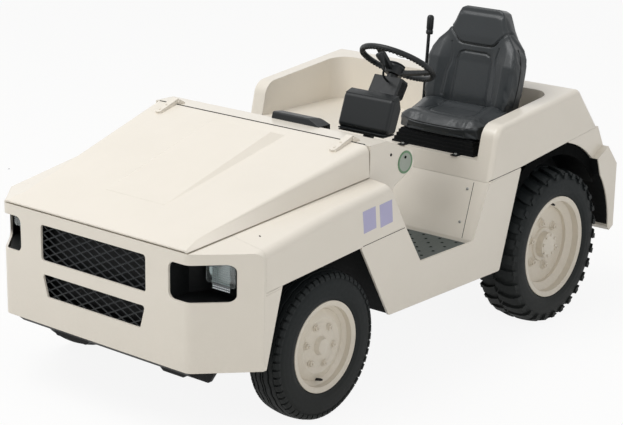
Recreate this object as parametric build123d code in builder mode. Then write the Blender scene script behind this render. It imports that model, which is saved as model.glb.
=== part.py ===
"""Baggage tow tractor: a short, heavy two-axle tug with an open driver's place.

Frame: +X is forward, +Y is the vehicle's left side, +Z is up.  The origin is on
the ground, in the middle of the overall length and width.  Units: millimetres.
"""
import math
import os

from build123d import *

os.makedirs("parts", exist_ok=True)

# ---------------------------------------------------------------- overall layout
wheelbase = 1660.0
front_overhang = 616.0          # front axle to the flat nose
rear_overhang = 640.0           # rear axle to the tip of the tow jaws
body_half_width = 734.0
overall_length = wheelbase + front_overhang + rear_overhang

rear_axle_x = rear_overhang - overall_length / 2
front_axle_x = rear_axle_x + wheelbase
nose_x = front_axle_x + front_overhang

sides = (("left", 1), ("right", -1))

# ------------------------------------------------------------ plates and clearances
skin = 10.0                     # thick body plate
sheet = 6.0                     # folded inner panels
rest_gap = 0.3                  # gap between pieces that rest on each other
wing_inner_y = body_half_width - skin - rest_gap
hood_gap = 5.0                  # all round the hood lid
fit_gap = 0.06                  # radial clearance of turning shafts

# ------------------------------------------------------------------------- wheels
front_tyre_radius = 317.0
front_tyre_width = 165.0
front_rim_radius = 195.0        # over the flange lip
front_wheel_y = 645.5           # tyre centre
rear_tyre_radius = 374.0
rear_tyre_width = 205.0
rear_rim_radius = 244.0
rear_wheel_y = 661.5

# ------------------------------------------------------------- nose and front wings
nose_half_width = 533.0
nose_base_z = 327.0
fold_back = 219.0               # nose to the rear end of each chamfered corner
corner_angle = math.atan2(body_half_width - nose_half_width, fold_back)
lid_edge_z_front = 815.0        # wing edge beside the hood, at the nose
lid_edge_z_rear = 940.0         # the same at the cowl
lid_half_width_rear = 633.0
lid_length = 999.0              # nose to cowl
ridge_radius = 40.0
fold_radius = 46.0
cowl_front_x = nose_x - lid_length
cowl_half_width = 628.0
cowl_top_z = 1077.0

# ----------------------------------------------------------------------- nose openings
upper_grille = (305.0, 610.0, 765.0)        # half width, base, top
lower_grille = ((-300.0, 552.0), (300.0, 552.0), (272.0, 454.0), (-272.0, 454.0))
lamp_inner_y = 430.0
lamp_outer_y = 662.0
lamp_base_z = 617.0
lamp_top_z = 770.0
lens_thickness = 5.0
box_wall = 4.0
lamp_y_mid = (lamp_inner_y + lamp_outer_y) / 2
lamp_z_mid = (lamp_base_z + lamp_top_z) / 2

# ----------------------------------------------------------------------- driver's place
floor_z = 528.0
sill_z = 543.0
skirt_base_z = 353.0
deck_z = 875.0                  # deck that carries the seat
deck_thickness = 10.0
rim_radius = 26.0               # rounding of the tub's outer rim
floor_rear_x = rear_axle_x + 655.0
floor_front_x = rear_axle_x + 1090.0
toe_x = floor_front_x - 20.0
toe_top_z = 700.0
dash_step_z = 735.0             # the dash panel is as wide as the floor up to here
dash_top_z = 1070.0
ear_base_z = 690.0
tub_seam_z = 788.0              # lower edge of the tub at its front lip
tub_seam_rise = 0.118           # rise of that edge for each unit rearwards
tub_front_x = rear_axle_x + 540.0
tub_wall = 88.0
tub_top_front_z = 1036.0
tub_top_rear_z = 1104.0
driver_y = 370.0                # seat and steering wheel are to the left

# ------------------------------------------------------------------------------ rear end
arch_radius = 497.0             # plate above the rear wheel
flare_arch_radius = 462.0
flare_half_width = 768.0
flare_inner_y = 640.0
flare_top_z = 791.0
tail_lamp_y = 690.0
tail_lamp_z = 590.0
hitch_plate_width = 300.0
hitch_plate_height = 250.0
hitch_plate_thickness = 22.0
hitch_mid_z = 480.0
jaw_levels = 4
jaw_thickness = 20.0
jaw_space = 40.0
jaw_half = 46.0
hitch_height = jaw_levels * jaw_thickness + (jaw_levels - 1) * jaw_space
hitch_base_z = hitch_mid_z - hitch_height / 2
hitch_pin_x = -overall_length / 2 + jaw_half
tow_pin_radius = 15.0
tow_pin_gap = 1.5
web_depth = 22.0
stow_y = 112.0
stow_z = 500.0

# -------------------------------------------------------------------------- running gear
rail_y = 340.0
rail_thickness = 40.0
rail_base_z = 440.0
rail_height = 160.0
rail_dip_base_z = 400.0
rail_dip_rear_x = rear_axle_x + 410.0
rail_dip_front_x = rear_axle_x + 1210.0
rail_rear_x = rear_axle_x - 380.0
rail_front_x = nose_x - skin - rest_gap
cross_member_z = 490.0
cross_member_x = (rear_axle_x - 300.0, rear_axle_x + 330.0, rear_axle_x + 780.0, front_axle_x + 420.0)
outrigger_x = (rear_axle_x + 680.0, rear_axle_x + 1060.0)
kingpin_y = 540.0
rear_axle_end_y = 545.0
rear_tube_radius = 54.0
rear_stub_radius = 36.0
rear_stub_reach = 30.0          # beyond the middle of the tyre
spring_width = 60.0
spring_stack = 46.0
engine_x = front_axle_x + 70.0
engine_length = 480.0
engine_width = 360.0
engine_height = 400.0
engine_base_z = 430.0
shaft_z = 440.0
gearbox_rear_x = front_axle_x - 560.0
radiator_x = nose_x - 85.0
radiator_depth = 60.0
radiator_width = 624.0
radiator_base_z = 450.0
radiator_top_z = 790.0
tank_outer_y = 700.0
tank_rear_x = rear_axle_x + 440.0
tank_front_x = rear_axle_x + 595.0
tank_base_z = 380.0
tank_top_z = 640.0
silencer_x = rear_axle_x + 865.0
silencer_length = 290.0
silencer_y = -540.0
silencer_z = 425.0
silencer_radius = 62.0
guard_half_width = 500.0
guard_base_z = 286.0
kingpin_radius = 16.0
spindle_radius = 22.0
steer_arm_length = 150.0
ear_thickness = 22.0
ear_drop = 6.0
foot_gap = 38.0                 # kingpin axis to the spindle's foot
foot_thickness = 14.0
arm_thickness = 18.0
rod_stud_radius = 8.0
drum_radius = 128.0
front_bore_reach = 48.0

# Half sections of the discs, drum and hub.  Columns: outboard of the tyre's middle, radius
front_disc = (
    (34.0, 153.0), (48.0, 118.0), (40.0, 96.0), (46.0, 62.0), (46.0, 40.0), (66.0, 32.0),
    (72.0, 0.0), (0.0, 0.0), (-42.0, 0.0), (-42.0, 44.0), (-12.0, 58.0), (-12.0, drum_radius - 10),
    (-50.0, drum_radius - 8), (-50.0, drum_radius), (-4.0, drum_radius), (-4.0, 66.0), (32.0, 62.0),
    (32.0, 96.0), (40.0, 118.0), (26.0, 153.0),
)
rear_disc = (
    (22.0, 188.0), (22.0, 84.0), (30.0, 80.0), (30.0, 62.0), (62.0, 60.0), (66.0, 48.0),
    (68.0, 0.0), (0.0, 0.0), (-106.0, 0.0), (-106.0, 60.0), (-60.0, 60.0), (-60.0, 150.0),
    (-112.0, 150.0), (-112.0, 162.0), (-50.0, 162.0), (-50.0, 84.0), (12.0, 84.0), (12.0, 188.0),
)

# -------------------------------------------------------------------------------- controls
column_lean = math.radians(33.0)
column_length = 850.0
steering_x = rear_axle_x + 756.0
steering_y = driver_y - 8.0
steering_z = 1318.0
steering_ring_radius = 167.0
steering_grip_radius = 12.5
hub_top = -30.0                 # places along the column, from the middle of the ring
hub_base = -60.0
hub_radius = 46.0
button_radius = 43.0
button_height = 16.0
stem_radius = 11.0
stem_base = -106.0
stem_bore_depth = 60.0
shroud_width = 158.0
shroud_depth = 60.0
shroud_base_along = -164.0
shroud_height = 84.0
spoke_turns = (-90.0, 20.0, 160.0)
spoke_half_width = 15.0
pod_y = steering_y
pod_width = 276.0
bracket_half_width = 52.0
seat_x = rear_axle_x + 300.0
seat_half_width = 250.0
parking_x = rear_axle_x + 190.0
parking_y = 90.0
console_left_y = 262.0
console_right_y = -8.0
console_slope = 76.0            # length of the console's sloped left end
back_lean = math.radians(13.0)
back_foot = -8.0                # lower edge of the backrest, which rests on the cushion


def side_plane(y):
    """Upright plane at this y: sketch x is forward, sketch y is up."""
    return Plane.XZ.offset(-y)


def cross_plane(x):
    """Upright plane across the vehicle: sketch x is left, sketch y is up."""
    return Plane.YZ.offset(x)


def write(builder, label):
    """Label the finished piece and write it as parts/label.step."""
    builder.part.label = label
    export_step(builder.part, f"parts/{label}.step")


def on_arch(radius, degrees):
    """Point on a circle round the rear axle, measured from forward, upwards."""
    angle = math.radians(degrees)
    return (rear_axle_x + radius * math.cos(angle), rear_tyre_radius + radius * math.sin(angle))


def flip(sign):
    """Mirror the open part to the right side when sign is negative."""
    if sign < 0:
        mirror(about=Plane.XZ, mode=Mode.REPLACE)


# ================================================================ nose and front wings
# Height of the wing's outer ridge, by distance ahead of the front axle.
# Columns: ahead of front axle, ridge height
wing_ridge = (
    (front_overhang, 773.0),
    (400.0, 812.0),
    (-60.0, 892.0),
    (-390.0, 924.0),
    (-502.0, 931.0),
)


def lid_edge(x, inset=0.0):
    """Half width and height of the wing edge beside the hood at this x."""
    part = (nose_x - x) / lid_length
    y = nose_half_width + part * (lid_half_width_rear - nose_half_width)
    z = lid_edge_z_front + part * (lid_edge_z_rear - lid_edge_z_front)
    return y, z - inset


def front_form(inset):
    """Closed form of nose and wings, drawn in by inset; its base runs on down."""
    half = body_half_width - inset
    with BuildPart() as form:
        for ahead, ridge in wing_ridge:
            x = front_axle_x + ahead
            edge_y, edge_z = lid_edge(x, inset)
            with BuildSketch(cross_plane(x)):
                with BuildLine():
                    FilletPolyline(
                        (-edge_y, edge_z), (-half, ridge - inset),
                        (-half, nose_base_z), (half, nose_base_z),
                        (half, ridge - inset), (edge_y, edge_z),
                        radius=[ridge_radius - inset, 2, 2, ridge_radius - inset],
                    )
                    Line((edge_y, edge_z), (-edge_y, edge_z))
                make_face()
        loft(ruled=True)
        corner = corner_angle
        front = nose_x - inset
        fold_y = nose_half_width - inset * math.tan(corner / 2)
        split(bisect_by=cross_plane(front), keep=Keep.BOTTOM)
        for sign in (1, -1):
            outward = (math.sin(corner), sign * math.cos(corner), 0)
            split(
                bisect_by=Plane(origin=(front, sign * fold_y, 0), z_dir=outward),
                keep=Keep.BOTTOM,
            )
        folds = form.edges().filter_by(Axis.Z).filter_by(lambda edge: edge.center().X > front - 50)
        fillet(folds, fold_radius - inset)
    return form.part


front_outer = front_form(0)
front_inner = front_form(skin)
weld_x = front_axle_x + 387.0       # upright joint between nose and wing
arch_front_top = (front_axle_x + 289.0, 656.0)
arch_rear_top = (front_axle_x - 201.0, 697.0)
arch_rear_base = (front_axle_x - 401.0, skirt_base_z)
wing_rear_base = (front_axle_x - 502.0, 725.0)
wing_rear_top = (front_axle_x - 390.0, 921.0)
wing_cut = (wing_rear_top[0] - wing_rear_base[0]) / (wing_rear_top[1] - wing_rear_base[1])
lid_flange = 14.0                   # wing flange that reaches under the hood's edge
above = 1000.0                      # clear above every wing surface


def hood_opening():
    """Prism over the engine bay and the cowl, between the two wings."""
    front_y = nose_half_width - lid_flange
    front = nose_x - skin - lid_flange
    with BuildPart() as opening:
        with BuildSketch(Plane.XY.offset(sill_z)):
            with BuildLine():
                Polyline(
                    (wing_rear_base[0] - 50, cowl_half_width + rest_gap),
                    (cowl_front_x, cowl_half_width + rest_gap),
                    (cowl_front_x, lid_half_width_rear - lid_flange), (front, front_y),
                    (front, 0), (wing_rear_base[0] - 50, 0), close=True,
                )
            make_face()
            mirror(about=Plane.XZ)
        extrude(amount=above - sill_z)
    return opening.part


with BuildPart() as front_mask:
    add(front_outer)
    add(front_inner, mode=Mode.SUBTRACT)
    split(bisect_by=Plane.XY.offset(nose_base_z), keep=Keep.TOP)
    with BuildSketch(side_plane(body_half_width + 50)):
        with BuildLine():
            Polyline(
                (front_axle_x + 380.0, nose_base_z - 1), arch_front_top, (weld_x, 650.0),
                (weld_x, above), (nose_x + 50, above), (nose_x + 50, nose_base_z - 1), close=True,
            )
        make_face()
    extrude(amount=2 * body_half_width + 100, mode=Mode.INTERSECT)
    add(hood_opening(), mode=Mode.SUBTRACT)
    # grille openings: an upright one over a tapered one
    with BuildSketch(cross_plane(nose_x + 1)):
        with Locations((0, (upper_grille[1] + upper_grille[2]) / 2)):
            RectangleRounded(2 * upper_grille[0], upper_grille[2] - upper_grille[1], 15)
        with BuildLine():
            FilletPolyline(*lower_grille, radius=[12, 12, 6, 6], close=True)
        make_face()
    extrude(amount=-skin - 2, mode=Mode.SUBTRACT)
    # lamp openings wrap each fold of the nose
    with BuildSketch(cross_plane(nose_x + 1)):
        with Locations((lamp_y_mid, lamp_z_mid), (-lamp_y_mid, lamp_z_mid)):
            RectangleRounded(lamp_outer_y - lamp_inner_y, lamp_top_z - lamp_base_z, 30)
    extrude(amount=-fold_back - 20, mode=Mode.SUBTRACT)
write(front_mask, "front_mask")

with BuildPart() as wings:
    add(front_outer)
    add(front_inner, mode=Mode.SUBTRACT)
    split(bisect_by=Plane.XZ, keep=Keep.BOTTOM)
    with BuildSketch(side_plane(body_half_width + 50)):
        with BuildLine():
            top_x = wing_rear_base[0] + wing_cut * (above - wing_rear_base[1])
            Polyline(
                (weld_x - rest_gap, above), (weld_x - rest_gap, 650.0 + rest_gap),
                (arch_front_top[0], arch_front_top[1] + rest_gap), arch_rear_top, wing_rear_base,
                (top_x, above), close=True,
            )
        make_face()
    extrude(amount=body_half_width + 50, mode=Mode.INTERSECT)
    add(hood_opening(), mode=Mode.SUBTRACT)
    mirror(about=Plane.XZ)
write(wings, "wings")


# =========================================================================== the hood
hood_edge_front = 8.0           # thickness of the lid at its front lip
hood_top_slope = 0.252          # rise of the lid's top for each unit rearwards
hood_shell = 6.0
hood_rear_x = cowl_front_x + hood_gap
hinge_x = cowl_front_x - 12.0
hinge_z = cowl_top_z + 14.0
hinge_y = 510.0
hinge_pin_radius = 5.0
hinge_eye_radius = 10.0
strap_width = 34.0
strap_height = 7.0
lug_gap = 0.6                   # each side of a strap's eye
lug_width = 5.0
leaf_front_x = cowl_front_x - 2.0
leaf_rear_x = cowl_front_x - 46.0
strap_front_x = cowl_front_x + 108.0
# Sections of the lid.  Columns: behind the nose, half width of the top, ridge radius
hood_sections = ((0.0, 524.0, 2.0), (88.0, 500.0, 8.0), (lid_length - hood_gap, 622.0, 30.0))


# Raised middle of the lid, fading forwards.
# Columns: ahead of the rear axle, half width of its top, half width of its foot, height
hood_panel = (
    (1340.0, 208.0, 212.0, 0.5),
    (1384.0, 168.0, 209.5, 26.0),
    (2030.0, 168.0, 172.0, 0.5),
)


def hood_top(x):
    """Height of the lid's flat top at this x."""
    return lid_edge_z_front + hood_gap + hood_edge_front + hood_top_slope * (nose_x - x)


def hood_middle(inset):
    """Closed form of the raised middle, drawn in by inset; its foot is inside the lid."""
    with BuildPart() as form:
        for ahead, top_y, foot_y, height in hood_panel:
            x = rear_axle_x + ahead
            z = hood_top(x) - inset
            with BuildSketch(cross_plane(x)):
                with BuildLine():
                    Polyline(
                        (inset - foot_y, z - 2 * hood_shell), (inset - foot_y, z),
                        (inset - top_y, z + height), (top_y - inset, z + height),
                        (foot_y - inset, z), (foot_y - inset, z - 2 * hood_shell),
                        close=True,
                    )
                make_face()
        loft(ruled=True)
    return form.part


def hood_form(inset):
    """Closed wedge of the lid, drawn in by inset and open below."""
    with BuildPart() as form:
        for behind, top_y, radius in hood_sections:
            x = nose_x - behind
            edge_y, edge_z = lid_edge(x)
            top_z = hood_top(x) - inset
            base_z = edge_z + hood_gap - 4 * inset
            edge_y = edge_y - 1 - inset
            top_y = min(top_y - inset, edge_y - 1)
            round_off = max(radius - inset, 1.0)
            with BuildSketch(cross_plane(x)):
                with BuildLine():
                    FilletPolyline(
                        (-edge_y, base_z), (-top_y, top_z), (top_y, top_z), (edge_y, base_z),
                        radius=[round_off, round_off],
                    )
                    Line((edge_y, base_z), (-edge_y, base_z))
                make_face()
        loft(ruled=True)
    return form.part


with BuildPart() as hood:
    strap_front_z = hood_top(strap_front_x)
    add(hood_form(0))
    add(hood_middle(0))
    add(hood_form(hood_shell), mode=Mode.SUBTRACT)
    add(hood_middle(hood_shell), mode=Mode.SUBTRACT)
    # strap hinges lie on the lid and reach back to their pins
    for y in (hinge_y, -hinge_y):
        with BuildSketch(side_plane(y + strap_width / 2)):
            with BuildLine():
                Polyline(
                    (strap_front_x, strap_front_z - 1), (strap_front_x, strap_front_z + strap_height),
                    (hinge_x, hinge_z + hinge_eye_radius), (hinge_x, hinge_z - hinge_eye_radius),
                    (hood_rear_x + 2, cowl_top_z + 1), close=True,
                )
            make_face()
            with Locations((hinge_x, hinge_z)):
                Circle(hinge_eye_radius)
        extrude(amount=strap_width)
        with Locations(Plane(origin=(hinge_x, y, hinge_z), z_dir=(0, 1, 0))):
            Hole(hinge_pin_radius + fit_gap)
write(hood, "hood")


# ================================================================ cowl and dash panel
cowl_top_rear_x = rear_axle_x + 1165.0
# Outline of the cowl's side, from the hood seam over the top and down behind the wing.
# Columns: x ahead of the rear axle, z, corner radius
cowl_outline = (
    (1277.0, 900.0, 0.0),
    (1277.0, cowl_top_z, 0.0),
    (1162.0, cowl_top_z, 40.0),
    (985.0, 1008.0, 22.0),
    (968.0, 932.0, 30.0),
    (1114.0, 868.0, 60.0),
    (1190.0, 740.0, 0.0),
    (1277.0, 740.0, 0.0),
)
cowl_flange = 34.0              # inward fold along the rim of each side


def cowl_profile(inset):
    """Side outline of the cowl, drawn in by inset."""
    with BuildSketch(Plane.XY) as outline:
        with BuildLine():
            points = [(rear_axle_x + x, z) for x, z, radius in cowl_outline]
            FilletPolyline(*points, radius=[radius for x, z, radius in cowl_outline], close=True)
        make_face()
        if inset:
            offset(amount=-inset, mode=Mode.REPLACE)
    return outline.sketch


with BuildPart() as cowl:
    # solid rim, hollowed between the flanges and open to the front and below
    with BuildSketch(side_plane(cowl_half_width)):
        add(cowl_profile(0))
    extrude(amount=2 * cowl_half_width)
    with BuildSketch(side_plane(cowl_half_width - sheet)):
        add(cowl_profile(sheet))
        with Locations((cowl_front_x, cowl_top_z - 180 - sheet)):
            Rectangle(80, 360)
    extrude(amount=2 * (cowl_half_width - sheet), mode=Mode.SUBTRACT)
    # open between the side flanges behind the top plate, and below it
    with BuildSketch(side_plane(cowl_half_width - cowl_flange)):
        with Locations((cowl_top_rear_x - 150 - sheet, cowl_top_z - 150)):
            Rectangle(300, 500)
        with Locations((cowl_top_rear_x, cowl_top_z - 200 - sheet)):
            Rectangle(600, 400)
    extrude(amount=2 * (cowl_half_width - cowl_flange), mode=Mode.SUBTRACT)
write(cowl, "cowl")

with BuildPart() as hood_hinges:
    # a leaf on the cowl with a lug each side of the strap's eye, and the pin through them
    for y in (hinge_y, -hinge_y):
        for lug_y in (y - strap_width / 2 - lug_gap - lug_width, y + strap_width / 2 + lug_gap):
            with BuildSketch(side_plane(lug_y + lug_width)):
                with BuildLine():
                    Polyline(
                        (leaf_front_x, cowl_top_z), (leaf_front_x, hinge_z), (hinge_x, hinge_z + 9),
                        (leaf_rear_x, cowl_top_z + 5), (leaf_rear_x, cowl_top_z), close=True,
                    )
                make_face()
            extrude(amount=lug_width)
        with BuildSketch(Plane.XY.offset(cowl_top_z)):
            with Locations(((leaf_rear_x + hinge_x - hinge_eye_radius - 3) / 2, y)):
                Rectangle(hinge_x - hinge_eye_radius - 3 - leaf_rear_x, strap_width + 2 * lug_gap)
        extrude(amount=5)
        with BuildSketch(side_plane(y + strap_width / 2 + lug_gap + lug_width)):
            with Locations((hinge_x, hinge_z)):
                Circle(hinge_pin_radius)
        extrude(amount=strap_width + 2 * (lug_gap + lug_width))
write(hood_hinges, "hood_hinges")

# A sloping toe board, then the upright dash panel that closes the engine bay
dash_x = cowl_front_x - sheet - rest_gap
with BuildPart() as dash_panel:
    with BuildSketch(side_plane(wing_inner_y)):
        with BuildLine():
            Polyline(
                (toe_x, floor_z), (toe_x + sheet, floor_z), (dash_x + sheet, toe_top_z),
                (dash_x + sheet, dash_step_z), (dash_x, dash_step_z), (dash_x, toe_top_z + 3),
                (toe_x, floor_z + sheet), close=True,
            )
        make_face()
    extrude(amount=2 * wing_inner_y)
    with BuildSketch(side_plane(cowl_half_width - sheet - rest_gap)):
        with Locations((dash_x + sheet / 2, (ear_base_z + dash_top_z) / 2)):
            Rectangle(sheet, dash_top_z - ear_base_z)
    extrude(amount=2 * (cowl_half_width - sheet - rest_gap))
    # side ears close the hollow of each wing
    for turn in (1, -1):
        with BuildSketch(cross_plane(dash_x)):
            with BuildLine():
                ridge = wing_ridge[3][1] - skin
                Polyline(
                    (turn * (cowl_half_width + rest_gap), ear_base_z), (turn * wing_inner_y, ear_base_z),
                    (turn * wing_inner_y, ridge - 44), (turn * (wing_inner_y - 34), ridge - 4),
                    (turn * (cowl_half_width + rest_gap), ridge + 6), close=True,
                )
            make_face()
        extrude(amount=sheet)
write(dash_panel, "dash_panel")

# =================================================================== skirts and floor
entry_rear_low = (rear_axle_x + 652.0, sill_z)
entry_front_low = (rear_axle_x + 1042.0, sill_z)
skirt_rear_base = (rear_axle_x + 431.0, skirt_base_z)
skirt_rear_x = rear_axle_x + 286.0


def tub_seam(x):
    """Height of the tub's lower edge at this x."""
    return tub_seam_z + tub_seam_rise * (tub_front_x - x)


with BuildPart() as skirts:
    with BuildSketch(side_plane(body_half_width)):
        with BuildLine():
            FilletPolyline(
                (wing_rear_base[0], wing_rear_base[1] - rest_gap),
                (arch_rear_top[0], arch_rear_top[1] - rest_gap), arch_rear_base, skirt_rear_base,
                (skirt_rear_x, tub_seam(skirt_rear_x) - rest_gap), (tub_front_x, tub_seam_z - rest_gap),
                entry_rear_low, entry_front_low,
                radius=[0, 6, 14, 14, 10, 0, 8, 8], close=True,
            )
        make_face()
    extrude(amount=skin)
    mirror(about=Plane.XZ)
write(skirts, "skirts")
inner_y = body_half_width - skin - rest_gap     # innermost face of the skirts, less the seat

with BuildPart() as floor_plate:
    with BuildSketch(Plane.XY.offset(floor_z - sheet)):
        with Locations(((floor_rear_x + floor_front_x) / 2, 0)):
            Rectangle(floor_front_x - floor_rear_x, 2 * inner_y)
    extrude(amount=sheet)
write(floor_plate, "floor_plate")

# Liners that close each wheel arch on its inboard side and above the tyre.
# Front web, shelf and forward panel, as an outline: x ahead of the front axle, z
liner_web_y = rail_y + rail_thickness / 2 + rest_gap
front_liner = (
    (dash_x + sheet + rest_gap - front_axle_x, 715.0),
    (276.0, 715.0),
    (384.0, 345.0),
)
liner_base_z = 560.0
liner_clear_z = 450.0           # the web starts here above the spring's front hanger
liner_turn = 4.0                # the panel's mitre at its knee
web_foot = 14.0                 # the web's rear edge, behind the forward panel
web_clear = 32.0
web_top = 70.0
rear_web_base_z = 460.0
rear_web_front_x = rear_axle_x - 379.7
rear_web_top_x = rear_axle_x - 345.0
rear_web_corner_z = 795.0
rear_liner_radius = 440.0
rear_liner_y = 536.0
rear_liner_start = 14.0         # degrees above the forward direction
rear_liner_end = 147.0
with BuildPart() as wheelhouses:
    (back, shelf_z), (knee, knee_z), (foot, foot_z) = front_liner
    with BuildSketch(side_plane(inner_y)):
        with BuildLine():
            Polyline(
                (front_axle_x + back, shelf_z), (front_axle_x + knee, knee_z),
                (front_axle_x + foot, foot_z), (front_axle_x + foot + sheet, foot_z),
                (front_axle_x + knee + liner_turn, knee_z + sheet),
                (front_axle_x + back, shelf_z + sheet), close=True,
            )
        make_face()
    extrude(amount=inner_y - liner_web_y)
    with BuildSketch(side_plane(liner_web_y + sheet)):
        with BuildLine():
            Polyline(
                (front_axle_x + back, shelf_z + sheet), (front_axle_x + knee + liner_turn, knee_z + sheet),
                (front_axle_x + foot + sheet, foot_z), (front_axle_x + foot - web_foot, foot_z),
                (front_axle_x + foot - web_clear, liner_clear_z),
                (front_axle_x + knee - web_top, liner_base_z),
                (front_axle_x + back, liner_base_z), close=True,
            )
        make_face()
    extrude(amount=sheet)
    # rear: an arched sheet over the tyre and the upright panel inboard of it
    with BuildSketch(side_plane(inner_y)):
        with BuildLine():
            outer_radius = rear_liner_radius + sheet
            middle = (rear_liner_start + rear_liner_end) / 2
            ThreePointArc(
                on_arch(rear_liner_radius, rear_liner_start), on_arch(rear_liner_radius, middle),
                on_arch(rear_liner_radius, rear_liner_end),
            )
            Line(on_arch(rear_liner_radius, rear_liner_end), on_arch(outer_radius, rear_liner_end))
            ThreePointArc(
                on_arch(outer_radius, rear_liner_end), on_arch(outer_radius, middle),
                on_arch(outer_radius, rear_liner_start),
            )
            Line(on_arch(outer_radius, rear_liner_start), on_arch(rear_liner_radius, rear_liner_start))
        make_face()
    extrude(amount=inner_y - rear_liner_y)
    with BuildSketch(side_plane(rear_liner_y + sheet)):
        with BuildLine():
            top = deck_z - deck_thickness - rest_gap
            start = on_arch(outer_radius, rear_liner_start)
            Polyline(
                (rear_web_front_x, rear_web_base_z), (start[0], rear_web_base_z), (start[0], top),
                (rear_web_top_x, top), (rear_web_front_x, rear_web_corner_z), close=True,
            )
        make_face()
    extrude(amount=sheet)
    mirror(about=Plane.XZ)
write(wheelhouses, "wheelhouses")

# Slanted front wall of the box under the seat
with BuildPart() as seat_riser:
    with BuildSketch(side_plane(inner_y)):
        with BuildLine():
            Polyline(
                (tub_front_x - sheet, tub_seam_z - rest_gap), (tub_front_x, tub_seam_z - rest_gap),
                (entry_rear_low[0], sill_z), (floor_rear_x - rest_gap, floor_z),
                (floor_rear_x - rest_gap, floor_z - sheet), (floor_rear_x - sheet, floor_z - sheet),
                (entry_rear_low[0] - sheet, sill_z), close=True,
            )
        make_face()
    extrude(amount=2 * inner_y)
write(seat_riser, "seat_riser")

# ============================================================================ the tub
# Side outline of the tub.  Columns: x ahead of the rear axle, z, corner radius
tub_outline = (
    (540.0, tub_seam_z, 0.0),
    (484.0, tub_top_front_z - 2, 78.0),
    (-190.0, tub_top_rear_z + 2, 40.0),
    (-371.0, 896.0, 0.0),
)
tub_back_x = rear_axle_x - 80.0             # inner face of the rear wall
# Hollows of the walls.  Columns: x ahead of the rear axle, z
side_hollow = ((466.0, 738.0), (466.0, 935.0), (440.0, 1002.0), (-95.0, 1058.0), (-95.0, 738.0))
rear_hollow = ((-90.0, 700.0), (-90.0, 1081.0), (-184.0, 1088.0), (-352.0, 896.0), (-352.0, 700.0))


def tub_profile(inset):
    """Side outline of the tub, drawn in by inset."""
    with BuildSketch(Plane.XY) as outline:
        with BuildLine():
            points = [(rear_axle_x + x, z) for x, z, radius in tub_outline]
            FilletPolyline(*points, radius=[radius for x, z, radius in tub_outline], close=True)
        make_face()
        if inset:
            offset(amount=-inset, mode=Mode.REPLACE)
    return outline.sketch


with BuildPart() as tub:
    with BuildSketch(side_plane(body_half_width)):
        add(tub_profile(0))
    extrude(amount=2 * body_half_width)
    rims = tub.edges().filter_by(lambda edge: abs(abs(edge.center().Y) - body_half_width) < 0.1)
    seam_mid = tub_seam((tub_front_x + tub_back_x) / 2)
    rims = rims.filter_by(lambda edge: edge.length < 500 or edge.center().Z > seam_mid + 100)
    fillet(rims, rim_radius)
    # the well for the seat, open to the front, and the hollow below the deck
    well_y = body_half_width - tub_wall
    with BuildSketch(Plane.XY.offset(deck_z)):
        with BuildLine():
            FilletPolyline(
                (tub_front_x + 50, well_y), (tub_back_x, well_y), (tub_back_x, -well_y),
                (tub_front_x + 50, -well_y), radius=[90, 90],
            )
            Line((tub_front_x + 50, -well_y), (tub_front_x + 50, well_y))
        make_face()
    extrude(amount=400, mode=Mode.SUBTRACT)
    with BuildSketch(Plane.XY.offset(tub_seam_z - 50)):
        with BuildLine():
            Polyline(
                (tub_front_x - 60, well_y), (tub_back_x - 120, well_y), (tub_back_x - 120, -well_y),
                (tub_front_x - 60, -well_y), close=True,
            )
        make_face()
    extrude(amount=deck_z - deck_thickness - tub_seam_z + 50, mode=Mode.SUBTRACT)
    # each side wall and the rear wall is a hollow box, open below
    for wall_y in (body_half_width - skin, -well_y - sheet):
        with BuildSketch(side_plane(wall_y)):
            with BuildLine():
                Polyline(*[(rear_axle_x + x, z) for x, z in side_hollow], close=True)
            make_face()
        extrude(amount=tub_wall - skin - sheet, mode=Mode.SUBTRACT)
    with BuildSketch(side_plane(body_half_width - skin)):
        with BuildLine():
            Polyline(*[(rear_axle_x + x, z) for x, z in rear_hollow], close=True)
        make_face()
    extrude(amount=2 * (body_half_width - skin), mode=Mode.SUBTRACT)
write(tub, "tub")

# ============================================================================ rear end
tail_x = rear_axle_x - 514.0                # upright rear face
tail_base_z = 354.0
tub_tail_x = rear_axle_x - 371.0            # lower rear corner of the tub


with BuildPart() as rear_quarters:
    # plate above and behind the wheel, under the tub's seam
    with BuildSketch(side_plane(body_half_width)):
        with BuildLine():
            seam_end = on_arch(arch_radius, 103)
            seam_start = (seam_end[0], tub_seam(seam_end[0]) - rest_gap)
            Polyline(
                seam_end, seam_start, (tub_tail_x, tub_seam(tub_tail_x) - rest_gap),
                (rear_axle_x - 429.0, flare_top_z), on_arch(arch_radius, 132),
            )
            ThreePointArc(on_arch(arch_radius, 132), on_arch(arch_radius, 118), seam_end)
        make_face()
    extrude(amount=skin)
    # the corner box that stands out behind the wheel
    with BuildSketch(side_plane(flare_half_width)):
        with BuildLine():
            Polyline(
                on_arch(flare_arch_radius, 142), on_arch(arch_radius, 132),
                (rear_axle_x - 425.0, flare_top_z), (tail_x, 690.0), (tail_x, tail_base_z + 18),
                (rear_axle_x - 480.0, tail_base_z), on_arch(flare_arch_radius, 180),
            )
            ThreePointArc(
                on_arch(flare_arch_radius, 180), on_arch(flare_arch_radius, 161),
                on_arch(flare_arch_radius, 142),
            )
        make_face()
    extrude(amount=flare_half_width - flare_inner_y)
    mirror(about=Plane.XZ)
write(rear_quarters, "rear_quarters")

with BuildPart() as counterweight:
    with BuildSketch(side_plane(flare_inner_y - rest_gap)):
        with BuildLine():
            FilletPolyline(
                (rear_axle_x - 380.0, tail_base_z), (tail_x, tail_base_z), (tail_x, 690.0),
                (rear_axle_x - 429.0, flare_top_z), (rear_axle_x - 380.0, flare_top_z),
                radius=[0, 20, 12, 0, 0], close=True,
            )
        make_face()
    extrude(amount=2 * (flare_inner_y - rest_gap))
write(counterweight, "counterweight")

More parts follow.
